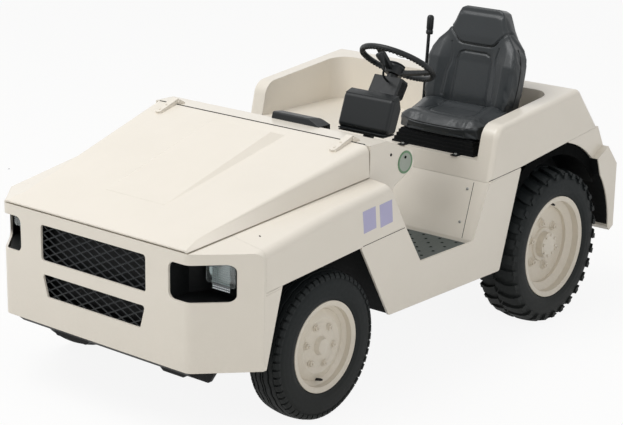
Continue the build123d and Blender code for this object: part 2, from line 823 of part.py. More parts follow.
with BuildPart() as tail_panel:
    # sloping plate from the tub down to the counterweight
    with BuildSketch(side_plane(inner_y)):
        with BuildLine():
            Polyline(
                (tub_tail_x, tub_seam(tub_tail_x) - rest_gap), (rear_axle_x - 429.0, flare_top_z + rest_gap),
                (rear_axle_x - 400.0, flare_top_z + rest_gap), (tub_tail_x + 26.0, tub_seam(tub_tail_x) - 4),
                close=True,
            )
        make_face()
    extrude(amount=2 * inner_y)
write(tail_panel, "tail_panel")

# Stepped tow jaws on a bolted plate: the top three plates hold the pin at three heights
with BuildPart() as hitch:
    with BuildSketch(cross_plane(tail_x - rest_gap)):
        with Locations((0, hitch_mid_z)):
            RectangleRounded(hitch_plate_width, hitch_plate_height, 18)
    extrude(amount=-hitch_plate_thickness)
    jaw_root = tail_x - rest_gap - hitch_plate_thickness
    for level in range(jaw_levels):
        z = hitch_base_z + level * (jaw_thickness + jaw_space)
        with BuildSketch(Plane.XY.offset(z)):
            with BuildLine():
                Polyline((hitch_pin_x, jaw_half), (jaw_root, jaw_half + 25), (jaw_root, -jaw_half - 25),
                         (hitch_pin_x, -jaw_half))
                Line((hitch_pin_x, -jaw_half), (hitch_pin_x, jaw_half))
            make_face()
            with Locations((hitch_pin_x, 0)):
                Circle(jaw_half)
        extrude(amount=jaw_thickness)
    # upright web behind the jaws, clear of the pin
    with BuildSketch(Plane.XY.offset(hitch_base_z)):
        with Locations((jaw_root - web_depth / 2, 0)):
            Rectangle(web_depth, 2 * jaw_half - 10)
    extrude(amount=hitch_height)
    with Locations(Plane(origin=(hitch_pin_x, 0, hitch_base_z + hitch_height), z_dir=(0, 0, 1))):
        Hole(tow_pin_radius + tow_pin_gap)
    # ear with a socket where the pin stands when nothing is towed
    with BuildSketch(Plane.XY.offset(stow_z)):
        with BuildLine():
            Polyline(
                (jaw_root, stow_y - 34), (jaw_root, stow_y + 34), (jaw_root - 46, stow_y + 22),
                (jaw_root - 46, stow_y - 22), close=True,
            )
        make_face()
    extrude(amount=14)
    with Locations(Plane(origin=(jaw_root - 24, stow_y, stow_z + 14), z_dir=(0, 0, 1))):
        Hole(tow_pin_radius + 0.5, depth=20)
write(hitch, "hitch")

with BuildPart() as hitch_pin:
    with BuildSketch(Plane.XY.offset(stow_z + 14 + rest_gap)):
        with Locations((jaw_root - 24, stow_y)):
            Circle(tow_pin_radius + 8)
    extrude(amount=8)
    with BuildSketch(Plane.XY.offset(stow_z - 150)):
        with Locations((jaw_root - 24, stow_y)):
            Circle(tow_pin_radius)
    extrude(amount=150 + 60)
    chamfer(hitch_pin.edges().sort_by(Axis.Z)[0], 6)
    with BuildSketch(side_plane(stow_y + 45)):
        with Locations((jaw_root - 24, stow_z + 60)):
            Circle(7)
    extrude(amount=90)
write(hitch_pin, "hitch_pin")

with BuildPart() as tail_lamps:
    for y in (tail_lamp_y, -tail_lamp_y):
        with BuildSketch(cross_plane(tail_x - rest_gap)):
            with Locations((y, tail_lamp_z)):
                RectangleRounded(62, 150, 10)
        extrude(amount=-32)
    fillet(tail_lamps.faces().sort_by(Axis.X)[:2].edges(), 6)
write(tail_lamps, "tail_lamps")

# ================================================================================ frame
with BuildPart() as side_rails:
    for y in (rail_y, -rail_y):
        with BuildSketch(side_plane(y + rail_thickness / 2)):
            with BuildLine():
                top = rail_base_z + rail_height
                dip = floor_z - sheet - rest_gap
                Polyline(
                    (rail_rear_x, rail_base_z), (rail_dip_rear_x, rail_base_z),
                    (rail_dip_rear_x + 100, rail_dip_base_z), (rail_dip_front_x - 100, rail_dip_base_z),
                    (rail_dip_front_x, rail_base_z), (rail_front_x, rail_base_z), (rail_front_x, top),
                    (rail_dip_front_x - 20, top), (rail_dip_front_x - 120, dip),
                    (rail_dip_rear_x + 230, dip), (rail_dip_rear_x + 130, top), (rail_rear_x, top),
                    close=True,
                )
            make_face()
        extrude(amount=rail_thickness)
write(side_rails, "side_rails")

# Cross members between the rails, and outriggers from the rails to the skirts.
rail_inner_y = rail_y - rail_thickness / 2 - rest_gap
rail_outer_y = rail_y + rail_thickness / 2 + rest_gap
with BuildPart() as cross_members:
    for x in cross_member_x:
        with BuildSketch(cross_plane(x + 20)):
            with Locations((0, cross_member_z)):
                Rectangle(2 * rail_inner_y, 60)
        extrude(amount=-40)
    for x in outrigger_x:
        for y0, y1 in ((rail_outer_y, inner_y), (-inner_y, -rail_outer_y)):
            with BuildSketch(cross_plane(x + 20)):
                with BuildLine():
                    outer = y1 if y0 > 0 else y0
                    inner = y0 if y0 > 0 else y1
                    Polyline(
                        (inner, rail_base_z + 4), (outer, floor_z - sheet - rest_gap - 40),
                        (outer, floor_z - sheet - rest_gap), (inner, floor_z - sheet - rest_gap), close=True,
                    )
                make_face()
            extrude(amount=-40)
write(cross_members, "cross_members")

# ================================================================== axles and springs
with BuildPart() as front_axle:
    # box beam, swept up to an eye round each kingpin
    with BuildSketch(cross_plane(front_axle_x + 32)):
        with BuildLine():
            Polyline(
                (-kingpin_y, front_tyre_radius - 30), (-kingpin_y, front_tyre_radius + 30),
                (-rail_y - 45, front_tyre_radius + 20), (rail_y + 45, front_tyre_radius + 20),
                (kingpin_y, front_tyre_radius + 30), (kingpin_y, front_tyre_radius - 30),
                (rail_y, front_tyre_radius - 48), (-rail_y, front_tyre_radius - 48), close=True,
            )
        make_face()
    extrude(amount=-64)
    with BuildSketch(Plane.XY.offset(front_tyre_radius - 30)):
        with Locations((front_axle_x, kingpin_y), (front_axle_x, -kingpin_y)):
            Circle(kingpin_radius + 16)
    extrude(amount=60)
    with Locations((front_axle_x, kingpin_y, 400), (front_axle_x, -kingpin_y, 400)):
        Hole(kingpin_radius + fit_gap)
write(front_axle, "front_axle")

with BuildPart() as rear_axle:
    # tapered tubes each side of the round drive housing
    with BuildSketch(Plane.XY.offset(rear_tyre_radius)):
        with BuildLine():
            Polyline(
                (rear_axle_x, 0), (rear_axle_x + 150, 0), (rear_axle_x + 140, 70),
                (rear_axle_x + rear_tube_radius, 165),
                (rear_axle_x + rear_tube_radius, rear_axle_end_y - 60),
                (rear_axle_x + 80, rear_axle_end_y - 60), (rear_axle_x + 80, rear_axle_end_y),
                (rear_axle_x, rear_axle_end_y), close=True,
            )
        make_face()
    revolve(axis=Axis((rear_axle_x, 0, rear_tyre_radius), (0, 1, 0)))
    mirror(about=Plane.XZ)
    # stub that carries each wheel hub
    with BuildSketch(side_plane(rear_wheel_y + rear_stub_reach)):
        with Locations((rear_axle_x, rear_tyre_radius)):
            Circle(rear_stub_radius)
    extrude(amount=2 * (rear_wheel_y + rear_stub_reach))
write(rear_axle, "rear_axle")

# Columns: axle x, height of the pack's lowest point, height of its eyes, half span
spring_packs = (
    (front_axle_x, front_tyre_radius + 20.0 + rest_gap, 400.0, 330.0),
    (rear_axle_x, rear_tyre_radius - rear_tube_radius - spring_stack - rest_gap, 345.0, 330.0),
)
with BuildPart() as leaf_springs:
    for x, pad_z, eye_z, half_span in spring_packs:
        for y in (rail_y, -rail_y):
            with BuildSketch(side_plane(y + spring_width / 2)):
                with BuildLine():
                    ThreePointArc((x - half_span, eye_z), (x, pad_z), (x + half_span, eye_z))
                    Line((x + half_span, eye_z), (x + half_span, eye_z + 12))
                    Line((x + half_span, eye_z + 12), (x + 120, pad_z + spring_stack))
                    Line((x + 120, pad_z + spring_stack), (x - 120, pad_z + spring_stack))
                    Line((x - 120, pad_z + spring_stack), (x - half_span, eye_z + 12))
                    Line((x - half_span, eye_z + 12), (x - half_span, eye_z))
                make_face()
                with Locations((x - half_span, eye_z + 8), (x + half_span, eye_z + 8)):
                    Circle(18)
                # hangers up to the rail
                with Locations((x - half_span, (eye_z + rail_base_z - rest_gap) / 2),
                               (x + half_span, (eye_z + rail_base_z - rest_gap) / 2)):
                    Rectangle(26, rail_base_z - rest_gap - eye_z)
            extrude(amount=spring_width)
write(leaf_springs, "leaf_springs")

# ============================================================================ driveline
with BuildPart() as engine_block:
    with BuildSketch(Plane.XY.offset(engine_base_z)):
        with Locations((engine_x, 0)):
            Rectangle(engine_length, engine_width)
    extrude(amount=engine_height)
    chamfer(engine_block.edges().filter_by(Axis.X), 30)
    # feet on the side rails
    with BuildSketch(cross_plane(engine_x + 40)):
        with Locations((0, rail_base_z + rail_height + rest_gap + 10)):
            Rectangle(2 * rail_y + rail_thickness, 20)
    extrude(amount=-80)
write(engine_block, "engine_block")

with BuildPart() as gearbox:
    with BuildSketch(cross_plane(engine_x - engine_length / 2 - rest_gap)):
        with Locations((0, shaft_z + 80)):
            Circle(165)
    with BuildSketch(cross_plane(engine_x - engine_length / 2 - 130)):
        with Locations((0, shaft_z + 30)):
            Circle(110)
    with BuildSketch(cross_plane(gearbox_rear_x)):
        with Locations((0, shaft_z)):
            Circle(70)
    loft(ruled=True)
write(gearbox, "gearbox")

with BuildPart() as propshaft:
    # shaft from the gearbox down to the nose of the drive housing
    start = Vector(gearbox_rear_x - rest_gap, 0, shaft_z)
    end = Vector(rear_axle_x + 150 + rest_gap, 0, rear_tyre_radius)
    run = end - start
    with BuildSketch(Plane(origin=start, z_dir=run)):
        Circle(34)
    extrude(amount=run.length)
    for place in (0.0, 1.0):
        with BuildSketch(Plane(origin=start + run * place - run.normalized() * 60 * place, z_dir=run)):
            Circle(56)
        extrude(amount=60)
    split(bisect_by=cross_plane(gearbox_rear_x - rest_gap), keep=Keep.BOTTOM)
    split(bisect_by=cross_plane(rear_axle_x + 150 + rest_gap), keep=Keep.TOP)
write(propshaft, "propshaft")

with BuildPart() as radiator:
    with BuildSketch(cross_plane(radiator_x + radiator_depth / 2)):
        with Locations((0, (radiator_base_z + radiator_top_z) / 2)):
            RectangleRounded(radiator_width, radiator_top_z - radiator_base_z, 12)
    extrude(amount=-radiator_depth)
    with BuildSketch(cross_plane(radiator_x + radiator_depth / 2)):
        with Locations((0, rail_base_z + rail_height + rest_gap + 4)):
            Rectangle(2 * rail_y + rail_thickness, 8)
    extrude(amount=-radiator_depth)
write(radiator, "radiator")

with BuildPart() as fuel_tank:
    with BuildSketch(side_plane(tank_outer_y)):
        with Locations(((tank_rear_x + tank_front_x) / 2, (tank_base_z + tank_top_z) / 2)):
            RectangleRounded(tank_front_x - tank_rear_x, tank_top_z - tank_base_z, 30)
    extrude(amount=tank_outer_y - rail_outer_y)
write(fuel_tank, "fuel_tank")

with BuildPart() as battery_box:
    with BuildSketch(side_plane(-rail_outer_y)):
        with Locations(((tank_rear_x + tank_front_x) / 2, (tank_base_z + tank_top_z) / 2 + 30)):
            Rectangle(tank_front_x - tank_rear_x, tank_top_z - tank_base_z - 60)
    extrude(amount=tank_outer_y - rail_outer_y)
write(battery_box, "battery_box")

with BuildPart() as exhaust:
    # silencer under the floor with its tail pipe
    with BuildSketch(cross_plane(silencer_x + silencer_length / 2)):
        with Locations((silencer_y, silencer_z)):
            Circle(silencer_radius)
    extrude(amount=-silencer_length)
    fillet(exhaust.edges().filter_by(GeomType.CIRCLE), 20)
    with BuildSketch(cross_plane(silencer_x - silencer_length / 2)):
        with Locations((silencer_y, silencer_z)):
            Circle(24)
    extrude(amount=-90)
    # strap up to the floor
    with BuildSketch(cross_plane(silencer_x + 20)):
        with Locations((silencer_y, (silencer_z + floor_z - sheet - rest_gap) / 2)):
            Rectangle(60, floor_z - sheet - rest_gap - silencer_z)
    extrude(amount=-40)
write(exhaust, "exhaust")

# ===================================================================== nose fittings
def corner_inner_y(behind):
    """Inner face of the nose's chamfered corner, at this distance behind the nose."""
    slope = (body_half_width - nose_half_width) / fold_back
    return nose_half_width + slope * behind - skin * math.hypot(1.0, slope)


# Expanded mesh behind both openings.  One diamond is mesh_long wide and mesh_short high.
mesh_long = 77.0
mesh_short = 37.0
strand_width = 5.0
mesh_thickness = 4.0
mesh_rim = 12.0
mesh_slope = math.degrees(math.atan2(mesh_short, mesh_long))


def mesh_panel(wide, high):
    """Flat expanded mesh inside a narrow rim."""
    reach = math.ceil((wide / mesh_long + high / mesh_short) / 2) + 1
    with BuildSketch(Plane.XY) as rim:
        Rectangle(wide, high)
        Rectangle(wide - 2 * mesh_rim, high - 2 * mesh_rim, mode=Mode.SUBTRACT)
    with BuildSketch(Plane.XY) as panel:
        for turn in (mesh_slope, -mesh_slope):
            with Locations(*[(step * mesh_long, 0) for step in range(-reach, reach + 1)]):
                Rectangle(wide + high, strand_width, rotation=turn)
        Rectangle(wide, high, mode=Mode.INTERSECT)
        add(rim.sketch)
    return panel.sketch


with BuildPart() as grille:
    for half, base, top in ((upper_grille[0], upper_grille[1], upper_grille[2]),
                            (lower_grille[1][0], lower_grille[2][1], lower_grille[1][1])):
        with BuildSketch(cross_plane(nose_x - skin - rest_gap)):
            with Locations((0, (base + top) / 2)):
                add(mesh_panel(2 * (half + mesh_rim), top - base + 2 * mesh_rim))
        extrude(amount=-mesh_thickness)
write(grille, "grille")

with BuildPart() as lamp_boxes:
    # dark boxes behind the wrap-round openings, open towards the nose and its corner
    box_rear_x = nose_x - 200.0
    with BuildSketch(Plane.XY.offset(lamp_base_z - 10)):
        with BuildLine():
            Polyline(
                (nose_x - skin - rest_gap, lamp_inner_y - 6),
                (nose_x - skin - rest_gap, corner_inner_y(skin) - 12),
                (nose_x - 165, corner_inner_y(165) - 1), (box_rear_x, corner_inner_y(165) - 1),
                (box_rear_x, lamp_inner_y + 40), (nose_x - 120, lamp_inner_y - 6), close=True,
            )
        make_face()
    extrude(amount=lamp_top_z - lamp_base_z + 20)
    with BuildSketch(Plane.XY.offset(lamp_base_z - 6)):
        with BuildLine():
            Polyline(
                (nose_x, lamp_inner_y - 2), (nose_x, corner_inner_y(161)),
                (nose_x - 161, corner_inner_y(161)), (nose_x - 166, corner_inner_y(165) - 5),
                (box_rear_x + box_wall, corner_inner_y(165) - 5), (box_rear_x + box_wall, lamp_inner_y + 42),
                (nose_x - 117, lamp_inner_y - 2), close=True,
            )
        make_face()
    extrude(amount=lamp_top_z - lamp_base_z + 12, mode=Mode.SUBTRACT)
    mirror(about=Plane.XZ)
write(lamp_boxes, "lamp_boxes")

lens_front_x = nose_x - 150.0
lens_outline = (155.0, 102.0, 567.0, 713.0)     # width, height, middle y, middle z
with BuildPart() as headlamps:
    # open housings at the outer end of each box, looking forwards
    width, height, lamp_y, lamp_z = lens_outline
    housing_front_x = lens_front_x - lens_thickness - rest_gap
    with BuildSketch(cross_plane(housing_front_x)):
        with Locations((lamp_y, lamp_z)):
            RectangleRounded(width, height, 14)
    extrude(amount=-(housing_front_x - box_rear_x - box_wall - rest_gap))
    with BuildSketch(cross_plane(housing_front_x)):
        with Locations((lamp_y, lamp_z)):
            RectangleRounded(width - 10, height - 10, 9)
    extrude(amount=-34, mode=Mode.SUBTRACT)
    mirror(about=Plane.XZ)
write(headlamps, "headlamps")

with BuildPart() as lamp_lenses:
    with BuildSketch(cross_plane(lens_front_x)):
        with Locations((lamp_y, lamp_z)):
            RectangleRounded(width, height, 14)
    extrude(amount=-lens_thickness)
    mirror(about=Plane.XZ)
write(lamp_lenses, "lamp_lenses")

with BuildPart() as nose_guard:
    # ballast bar behind the nose's lower edge, with the parts that hang below it
    with BuildSketch(side_plane(guard_half_width)):
        with BuildLine():
            Polyline(
                (nose_x - skin - rest_gap, nose_base_z + 4),
                (nose_x - skin - rest_gap, rail_base_z - rest_gap),
                (nose_x - 150, rail_base_z - rest_gap), (nose_x - 150, guard_base_z),
                (nose_x - 60, guard_base_z), close=True,
            )
        make_face()
    extrude(amount=2 * guard_half_width)
    # tow eye cheek and oil cooler guard under the bar.  Columns: right end, left end, base
    for right_y, left_y, hang_z in ((-316.0, -92.0, 266.0), (312.0, 470.0, 271.0)):
        with BuildSketch(cross_plane(nose_x - 64)):
            with BuildLine():
                FilletPolyline(
                    (right_y, guard_base_z + 2), (right_y + 22, hang_z), (left_y - 22, hang_z),
                    (left_y, guard_base_z + 2),
                    radius=[14, 14],
                )
                Line((left_y, guard_base_z + 2), (right_y, guard_base_z + 2))
            make_face()
        extrude(amount=-70)
    # lashing lug behind the left corner of the nose
    with BuildSketch(cross_plane(nose_x - 134)):
        with BuildLine():
            FilletPolyline(
                (396.0, guard_base_z + 60), (396.0, 266.0), (430.0, 246.0), (520.0, 246.0),
                (552.0, guard_base_z + 10), radius=[16, 16, 16],
            )
            Line((552.0, guard_base_z + 10), (396.0, guard_base_z + 60))
        make_face()
    extrude(amount=-16)
write(nose_guard, "nose_guard")


# =============================================================================== wheels
def wheel_plane(axle_x, wheel_y, radius):
    """Plane through the wheel's axis: sketch x is outboard, sketch y is the radius."""
    return Plane(origin=(axle_x, wheel_y, radius), x_dir=(0, 1, 0), z_dir=(1, 0, 0))


def rim_outline(half, lip, bead, well, wall):
    """Half section of a rim, from its outer lip through the drop centre to the inner lip."""
    edge = half - 7.5
    return (
        (half, lip), (edge, lip), (edge, bead), (half * 0.55, bead - 2), (half * 0.38, well),
        (-half * 0.38, well), (-half * 0.55, bead - 2), (-edge, bead), (-edge, lip), (-half, lip),
        (-half, lip - wall), (-edge - wall * 0.4, bead - wall), (-half * 0.55 - wall, bead - 2 - wall),
        (-half * 0.38 - wall * 0.4, well - wall), (half * 0.38 + wall * 0.4, well - wall),
        (half * 0.55 + wall, bead - 2 - wall), (edge + wall * 0.4, bead - wall), (half, lip - wall),
    )


def tyre_section(half_rim, bead, lip, half_width, radius):
    """Half section of a tyre, from bead to bead over the tread."""
    edge = half_rim - 7.5 - rest_gap
    waist = bead + (radius - bead) * 0.55
    shoulder = (half_width * 0.86, radius - half_width * 0.12)
    with BuildSketch(Plane.XY) as section:
        with BuildLine():
            Polyline(
                (-edge, lip + rest_gap), (-edge, bead + rest_gap),
                (edge, bead + rest_gap), (edge, lip + rest_gap),
            )
            Line((edge, lip + rest_gap), (half_rim, lip + 4))
            ThreePointArc((half_rim, lip + 4), (half_width, waist), shoulder)
            ThreePointArc(shoulder, (0, radius), (-shoulder[0], shoulder[1]))
            ThreePointArc((-shoulder[0], shoulder[1]), (-half_width, waist), (-half_rim, lip + 4))
            Line((-half_rim, lip + 4), (-edge, lip + rest_gap))
        make_face()
    return section.sketch


# Columns: name, axle x, wheel centre y, tyre radius, tyre half width, lip radius, bead radius,
# well radius, half width between the lips, disc, bore radius, inboard reach of the bore
wheel_sets = (
    ("front", front_axle_x, front_wheel_y, front_tyre_radius, front_tyre_width / 2,
     front_rim_radius, 178.0, 158.0, 75.5, front_disc, spindle_radius, front_bore_reach),
    ("rear", rear_axle_x, rear_wheel_y, rear_tyre_radius, rear_tyre_width / 2,
     rear_rim_radius, 226.0, 192.0, 92.5, rear_disc, rear_stub_radius, rear_stub_reach + 6),
)
for (end, axle_x, wheel_y, tyre_radius, half_width, lip, bead, well, half_rim, disc, bore,
     bore_reach) in wheel_sets:
    axis = Axis((axle_x, wheel_y, tyre_radius), (0, 1, 0))
    for side, sign in sides:
        with BuildPart() as wheel:
            with BuildSketch(wheel_plane(axle_x, wheel_y, tyre_radius)):
                with BuildLine():
                    Polyline(*rim_outline(half_rim, lip, bead, well, 6.0), close=True)
                make_face()
                with BuildLine():
                    Polyline(*disc, close=True)
                make_face()
            revolve(axis=axis)
            with BuildSketch(side_plane(wheel_y + bore_reach)):
                with Locations((axle_x, tyre_radius)):
                    Circle(bore + fit_gap)
            extrude(amount=300, mode=Mode.SUBTRACT)
            flip(sign)
        write(wheel, f"wheel_{end}_{side}")
        with BuildPart() as tyre:
            with BuildSketch(wheel_plane(axle_x, wheel_y, tyre_radius)):
                add(tyre_section(half_rim, bead, lip, half_width, tyre_radius))
            revolve(axis=axis)
            flip(sign)
        write(tyre, f"tyre_{end}_{side}")

# ============================================================================= steering
eye_top = front_tyre_radius + 30.0
eye_base = front_tyre_radius - 30.0
for side, sign in sides:
    with BuildPart() as knuckle:
        # ears above and below the axle's eye, joined outboard by the spindle's foot
        for z in (eye_top + rest_gap, eye_base - ear_drop - ear_thickness):
            with BuildSketch(Plane.XY.offset(z)):
                with Locations((front_axle_x, kingpin_y)):
                    Circle(kingpin_radius + 14)
                with Locations((front_axle_x, kingpin_y + (foot_gap + foot_thickness) / 2)):
                    Rectangle(2 * (kingpin_radius + 14), foot_gap + foot_thickness)
            extrude(amount=ear_thickness)
        foot_base = eye_base - ear_drop - ear_thickness
        with BuildSketch(side_plane(kingpin_y + foot_gap + foot_thickness)):
            with Locations((front_axle_x, (foot_base + eye_top + rest_gap + ear_thickness) / 2)):
                RectangleRounded(78, eye_top + rest_gap + ear_thickness - foot_base, 10)
        extrude(amount=foot_thickness)
        with BuildSketch(side_plane(kingpin_y + foot_gap + foot_thickness)):
            with Locations((front_axle_x, front_tyre_radius)):
                Circle(drum_radius - 4)
        extrude(amount=4)
        with BuildSketch(side_plane(front_wheel_y + front_bore_reach - 6)):
            with Locations((front_axle_x, front_tyre_radius)):
                Circle(spindle_radius)
        extrude(amount=front_wheel_y + front_bore_reach - 6 - kingpin_y - foot_gap - 2)
        with BuildSketch(Plane.XY.offset(foot_base - 6)):
            with Locations((front_axle_x, kingpin_y)):
                Circle(kingpin_radius)
        extrude(amount=eye_top + ear_thickness + 12 - foot_base)
        # arm straight back to the track rod
        with BuildSketch(Plane.XY.offset(foot_base)):
            with Locations((front_axle_x - steer_arm_length / 2, kingpin_y)):
                Rectangle(steer_arm_length, 20)
            with Locations((front_axle_x - steer_arm_length, kingpin_y)):
                Circle(13)
        extrude(amount=arm_thickness)
        with Locations((front_axle_x - steer_arm_length, kingpin_y, foot_base + arm_thickness)):
            Hole(rod_stud_radius + fit_gap, depth=arm_thickness + 1)
        flip(sign)
    write(knuckle, f"knuckle_{side}")

with BuildPart() as track_rod:
    rod_z = foot_base - 14.0
    rod_x = front_axle_x - steer_arm_length
    with BuildSketch(side_plane(kingpin_y - 10)):
        with Locations((rod_x, rod_z)):
            Circle(11)
    extrude(amount=2 * kingpin_y - 20)
    for y in (kingpin_y, -kingpin_y):
        with BuildSketch(Plane.XY.offset(rod_z - 13)):
            with Locations((rod_x, y)):
                Circle(15)
        extrude(amount=foot_base - rest_gap - rod_z + 13)
        with BuildSketch(Plane.XY.offset(rod_z)):
            with Locations((rod_x, y)):
                Circle(rod_stud_radius)
        extrude(amount=foot_base + arm_thickness + 5 - rod_z)
write(track_rod, "track_rod")

# The column leans back from the dash panel to the hub of the steering wheel
column_dir = Vector(-math.sin(column_lean), 0, math.cos(column_lean))
wheel_centre = Vector(steering_x, steering_y, steering_z)
column_top = wheel_centre + column_dir * (hub_base - 2)
column_base = wheel_centre - column_dir * column_length
with BuildPart() as steering_column:
    with BuildSketch(Plane(origin=column_base, z_dir=column_dir)):
        Circle(24)
    extrude(amount=(column_top - column_base).length)
    with BuildSketch(Plane(origin=column_top, z_dir=column_dir)):
        Circle(stem_radius + fit_gap)
    extrude(amount=-stem_bore_depth, mode=Mode.SUBTRACT)
    toe_run = Vector(dash_x - toe_x, 0, toe_top_z - floor_z - 3)
    toe_normal = Vector(-toe_run.Z, 0, toe_run.X).normalized()
    toe_point = Vector(dash_x, 0, toe_top_z + 3) + toe_normal * rest_gap
    split(bisect_by=Plane(origin=toe_point, z_dir=toe_normal), keep=Keep.TOP)
write(steering_column, "steering_column")

with BuildPart() as steering_wheel:
    wheel_frame = Plane(origin=wheel_centre, x_dir=(0, 1, 0), z_dir=column_dir)
    with BuildSketch(Plane(origin=wheel_centre, x_dir=(0, 1, 0), z_dir=wheel_frame.y_dir)):
        with Locations((steering_ring_radius, 0)):
            Circle(steering_grip_radius)
    revolve(axis=Axis(wheel_centre, column_dir))
    with BuildSketch(Plane(origin=wheel_centre + column_dir * hub_base, x_dir=(0, 1, 0), z_dir=column_dir)):
        Circle(hub_radius - 6)
    with BuildSketch(Plane(origin=wheel_centre + column_dir * hub_top, x_dir=(0, 1, 0), z_dir=column_dir)):
        Circle(hub_radius)
    loft()
    # domed horn button on the hub
    with BuildSketch(Plane(origin=wheel_centre + column_dir * hub_top, x_dir=(0, 1, 0), z_dir=column_dir)):
        Circle(button_radius)
    extrude(amount=button_height)
    button_rim = steering_wheel.faces().sort_by(lambda face: (face.center() - wheel_centre).dot(column_dir))
    button_rim = button_rim.filter_by(GeomType.PLANE)[-1]
    fillet(button_rim.edges(), button_height * 0.8)
    # dished spokes: one towards the driver, two to the sides
    for turn in spoke_turns:
        out = wheel_frame.x_dir.rotate(Axis((0, 0, 0), column_dir), turn)
        with BuildSketch(Plane(origin=wheel_centre, x_dir=out, z_dir=out.cross(column_dir))):
            with BuildLine():
                Polyline(
                    (hub_radius - 12, hub_base + 6), (hub_radius - 12, hub_top - 4),
                    (steering_ring_radius - 4, 6), (steering_ring_radius - 4, -8), close=True,
                )
            make_face()
        extrude(amount=spoke_half_width, both=True)
    with BuildSketch(Plane(origin=wheel_centre + column_dir * stem_base, x_dir=(0, 1, 0), z_dir=column_dir)):
        Circle(stem_radius)
    extrude(amount=hub_base - stem_base + 10)
write(steering_wheel, "steering_wheel")

with BuildPart() as column_pod:
    # instrument housing in front of the column, leaning back with it
    with BuildSketch(side_plane(pod_y + pod_width / 2)):
        with BuildLine():
            FilletPolyline(
                (rear_axle_x + 1012.0, 1046.0), (rear_axle_x + 960.0, 1194.0),
                (rear_axle_x + 908.0, 1212.0), (rear_axle_x + 894.0, 1150.0),
                (rear_axle_x + 934.0, 1046.0), radius=[22, 24, 14, 14, 12], close=True,
            )
        make_face()
    extrude(amount=pod_width)
    fillet(column_pod.faces().sort_by(Axis.Y)[-1].edges(), 18)
    fillet(column_pod.faces().sort_by(Axis.Y)[0].edges(), 18)
    # bracket that holds the housing to the column
    with BuildSketch(side_plane(pod_y + bracket_half_width)):
        with BuildLine():
            Polyline(
                (rear_axle_x + 930.0, 1178.0), (rear_axle_x + 812.0, 1178.0),
                (rear_axle_x + 874.0, 1082.0), (rear_axle_x + 940.0, 1082.0), close=True,
            )
        make_face()
    extrude(amount=2 * bracket_half_width)
    with BuildSketch(Plane(origin=column_base, z_dir=column_dir)):
        Circle(24 + rest_gap)
    extrude(amount=column_length, mode=Mode.SUBTRACT)
write(column_pod, "column_pod")

with BuildPart() as column_shroud:
    # cover round the top of the column
    shroud_base = wheel_centre + column_dir * shroud_base_along
    with BuildSketch(Plane(origin=shroud_base, x_dir=(0, 1, 0), z_dir=column_dir)):
        RectangleRounded(shroud_width, shroud_depth, 12)
    extrude(amount=shroud_height)
    with BuildSketch(Plane(origin=shroud_base, x_dir=(0, 1, 0), z_dir=column_dir)):
        Circle(24 + rest_gap)
    extrude(amount=shroud_height, mode=Mode.SUBTRACT)
    add(column_pod, mode=Mode.SUBTRACT)
write(column_shroud, "column_shroud")

with BuildPart() as shift_lever:
    # lever on the front of the shroud, with a knob that widens upwards
    lever_root = Vector(rear_axle_x + 836.0, steering_y + 18, 1238.0)
    lever_tip = Vector(rear_axle_x + 950.0, steering_y + 50, 1383.0)
    lever_run = lever_tip - lever_root
    lever_way = lever_run.normalized()
    with BuildSketch(Plane(origin=lever_root, z_dir=lever_run)):
        Circle(5)
    extrude(amount=lever_run.length - 20)
    with BuildSketch(Plane(origin=lever_tip - lever_way * 28, z_dir=lever_run)):
        Circle(10)
    with BuildSketch(Plane(origin=lever_tip + lever_way * 14, z_dir=lever_run)):
        Circle(21)
    loft()
    knob_top = shift_lever.faces().sort_by(lambda face: (face.center() - lever_root).dot(lever_way))[-1]
    fillet(knob_top.edges(), 8)
    with BuildSketch(Plane(origin=shroud_base, x_dir=(0, 1, 0), z_dir=column_dir)):
        Rectangle(shroud_width, shroud_depth + 2 * rest_gap)
    extrude(amount=shroud_height, mode=Mode.SUBTRACT)
write(shift_lever, "shift_lever")

with BuildPart() as dash_console:
    # low black tray across the rear rim of the cowl
    with BuildSketch(side_plane(console_left_y)):
        with BuildLine():
            FilletPolyline(
                (cowl_top_rear_x + 12, cowl_top_z + rest_gap), (cowl_top_rear_x + 4, cowl_top_z + 30),
                (cowl_top_rear_x - 66, cowl_top_z + 22), (cowl_top_rear_x - 70, cowl_top_z - 60),
                (cowl_top_rear_x - 50, cowl_top_z - 60), (cowl_top_rear_x - 46, cowl_top_z + rest_gap),
                radius=[0, 10, 12, 0, 0, 0], close=True,
            )
        make_face()
    extrude(amount=console_left_y - console_right_y)
    # the left end slopes down to the rim
    slope_normal = Vector(0, 30, console_slope).normalized()
    split(bisect_by=Plane(origin=(0, console_left_y, cowl_top_z + 2), z_dir=slope_normal), keep=Keep.BOTTOM)
write(dash_console, "dash_console")

with BuildPart() as pedals:
    # brake and accelerator pads on arms hung from the dash panel
    for y, width, pad_x, pad_z in ((470.0, 80.0, 1085.0, 660.0), (262.0, 55.0, 1110.0, 640.0)):
        with BuildSketch(side_plane(y + 6)):
            with BuildLine():
                Polyline(
                    (dash_x - rest_gap, 830.0), (dash_x - rest_gap, 800.0),
                    (rear_axle_x + pad_x + 50, 780.0),
                    (rear_axle_x + pad_x + 14, pad_z), (rear_axle_x + pad_x - 2, pad_z + 8),
                    (rear_axle_x + pad_x + 40, 808.0), close=True,
                )
            make_face()
        extrude(amount=12)
        with BuildSketch(side_plane(y + width / 2)):
            with BuildLine():
                Polyline(
                    (rear_axle_x + pad_x - 14, pad_z + 50), (rear_axle_x + pad_x - 28, pad_z + 44),
                    (rear_axle_x + pad_x + 2, pad_z - 36), (rear_axle_x + pad_x + 16, pad_z - 30),
                    close=True,
                )
            make_face()
        extrude(amount=width)
write(pedals, "pedals")

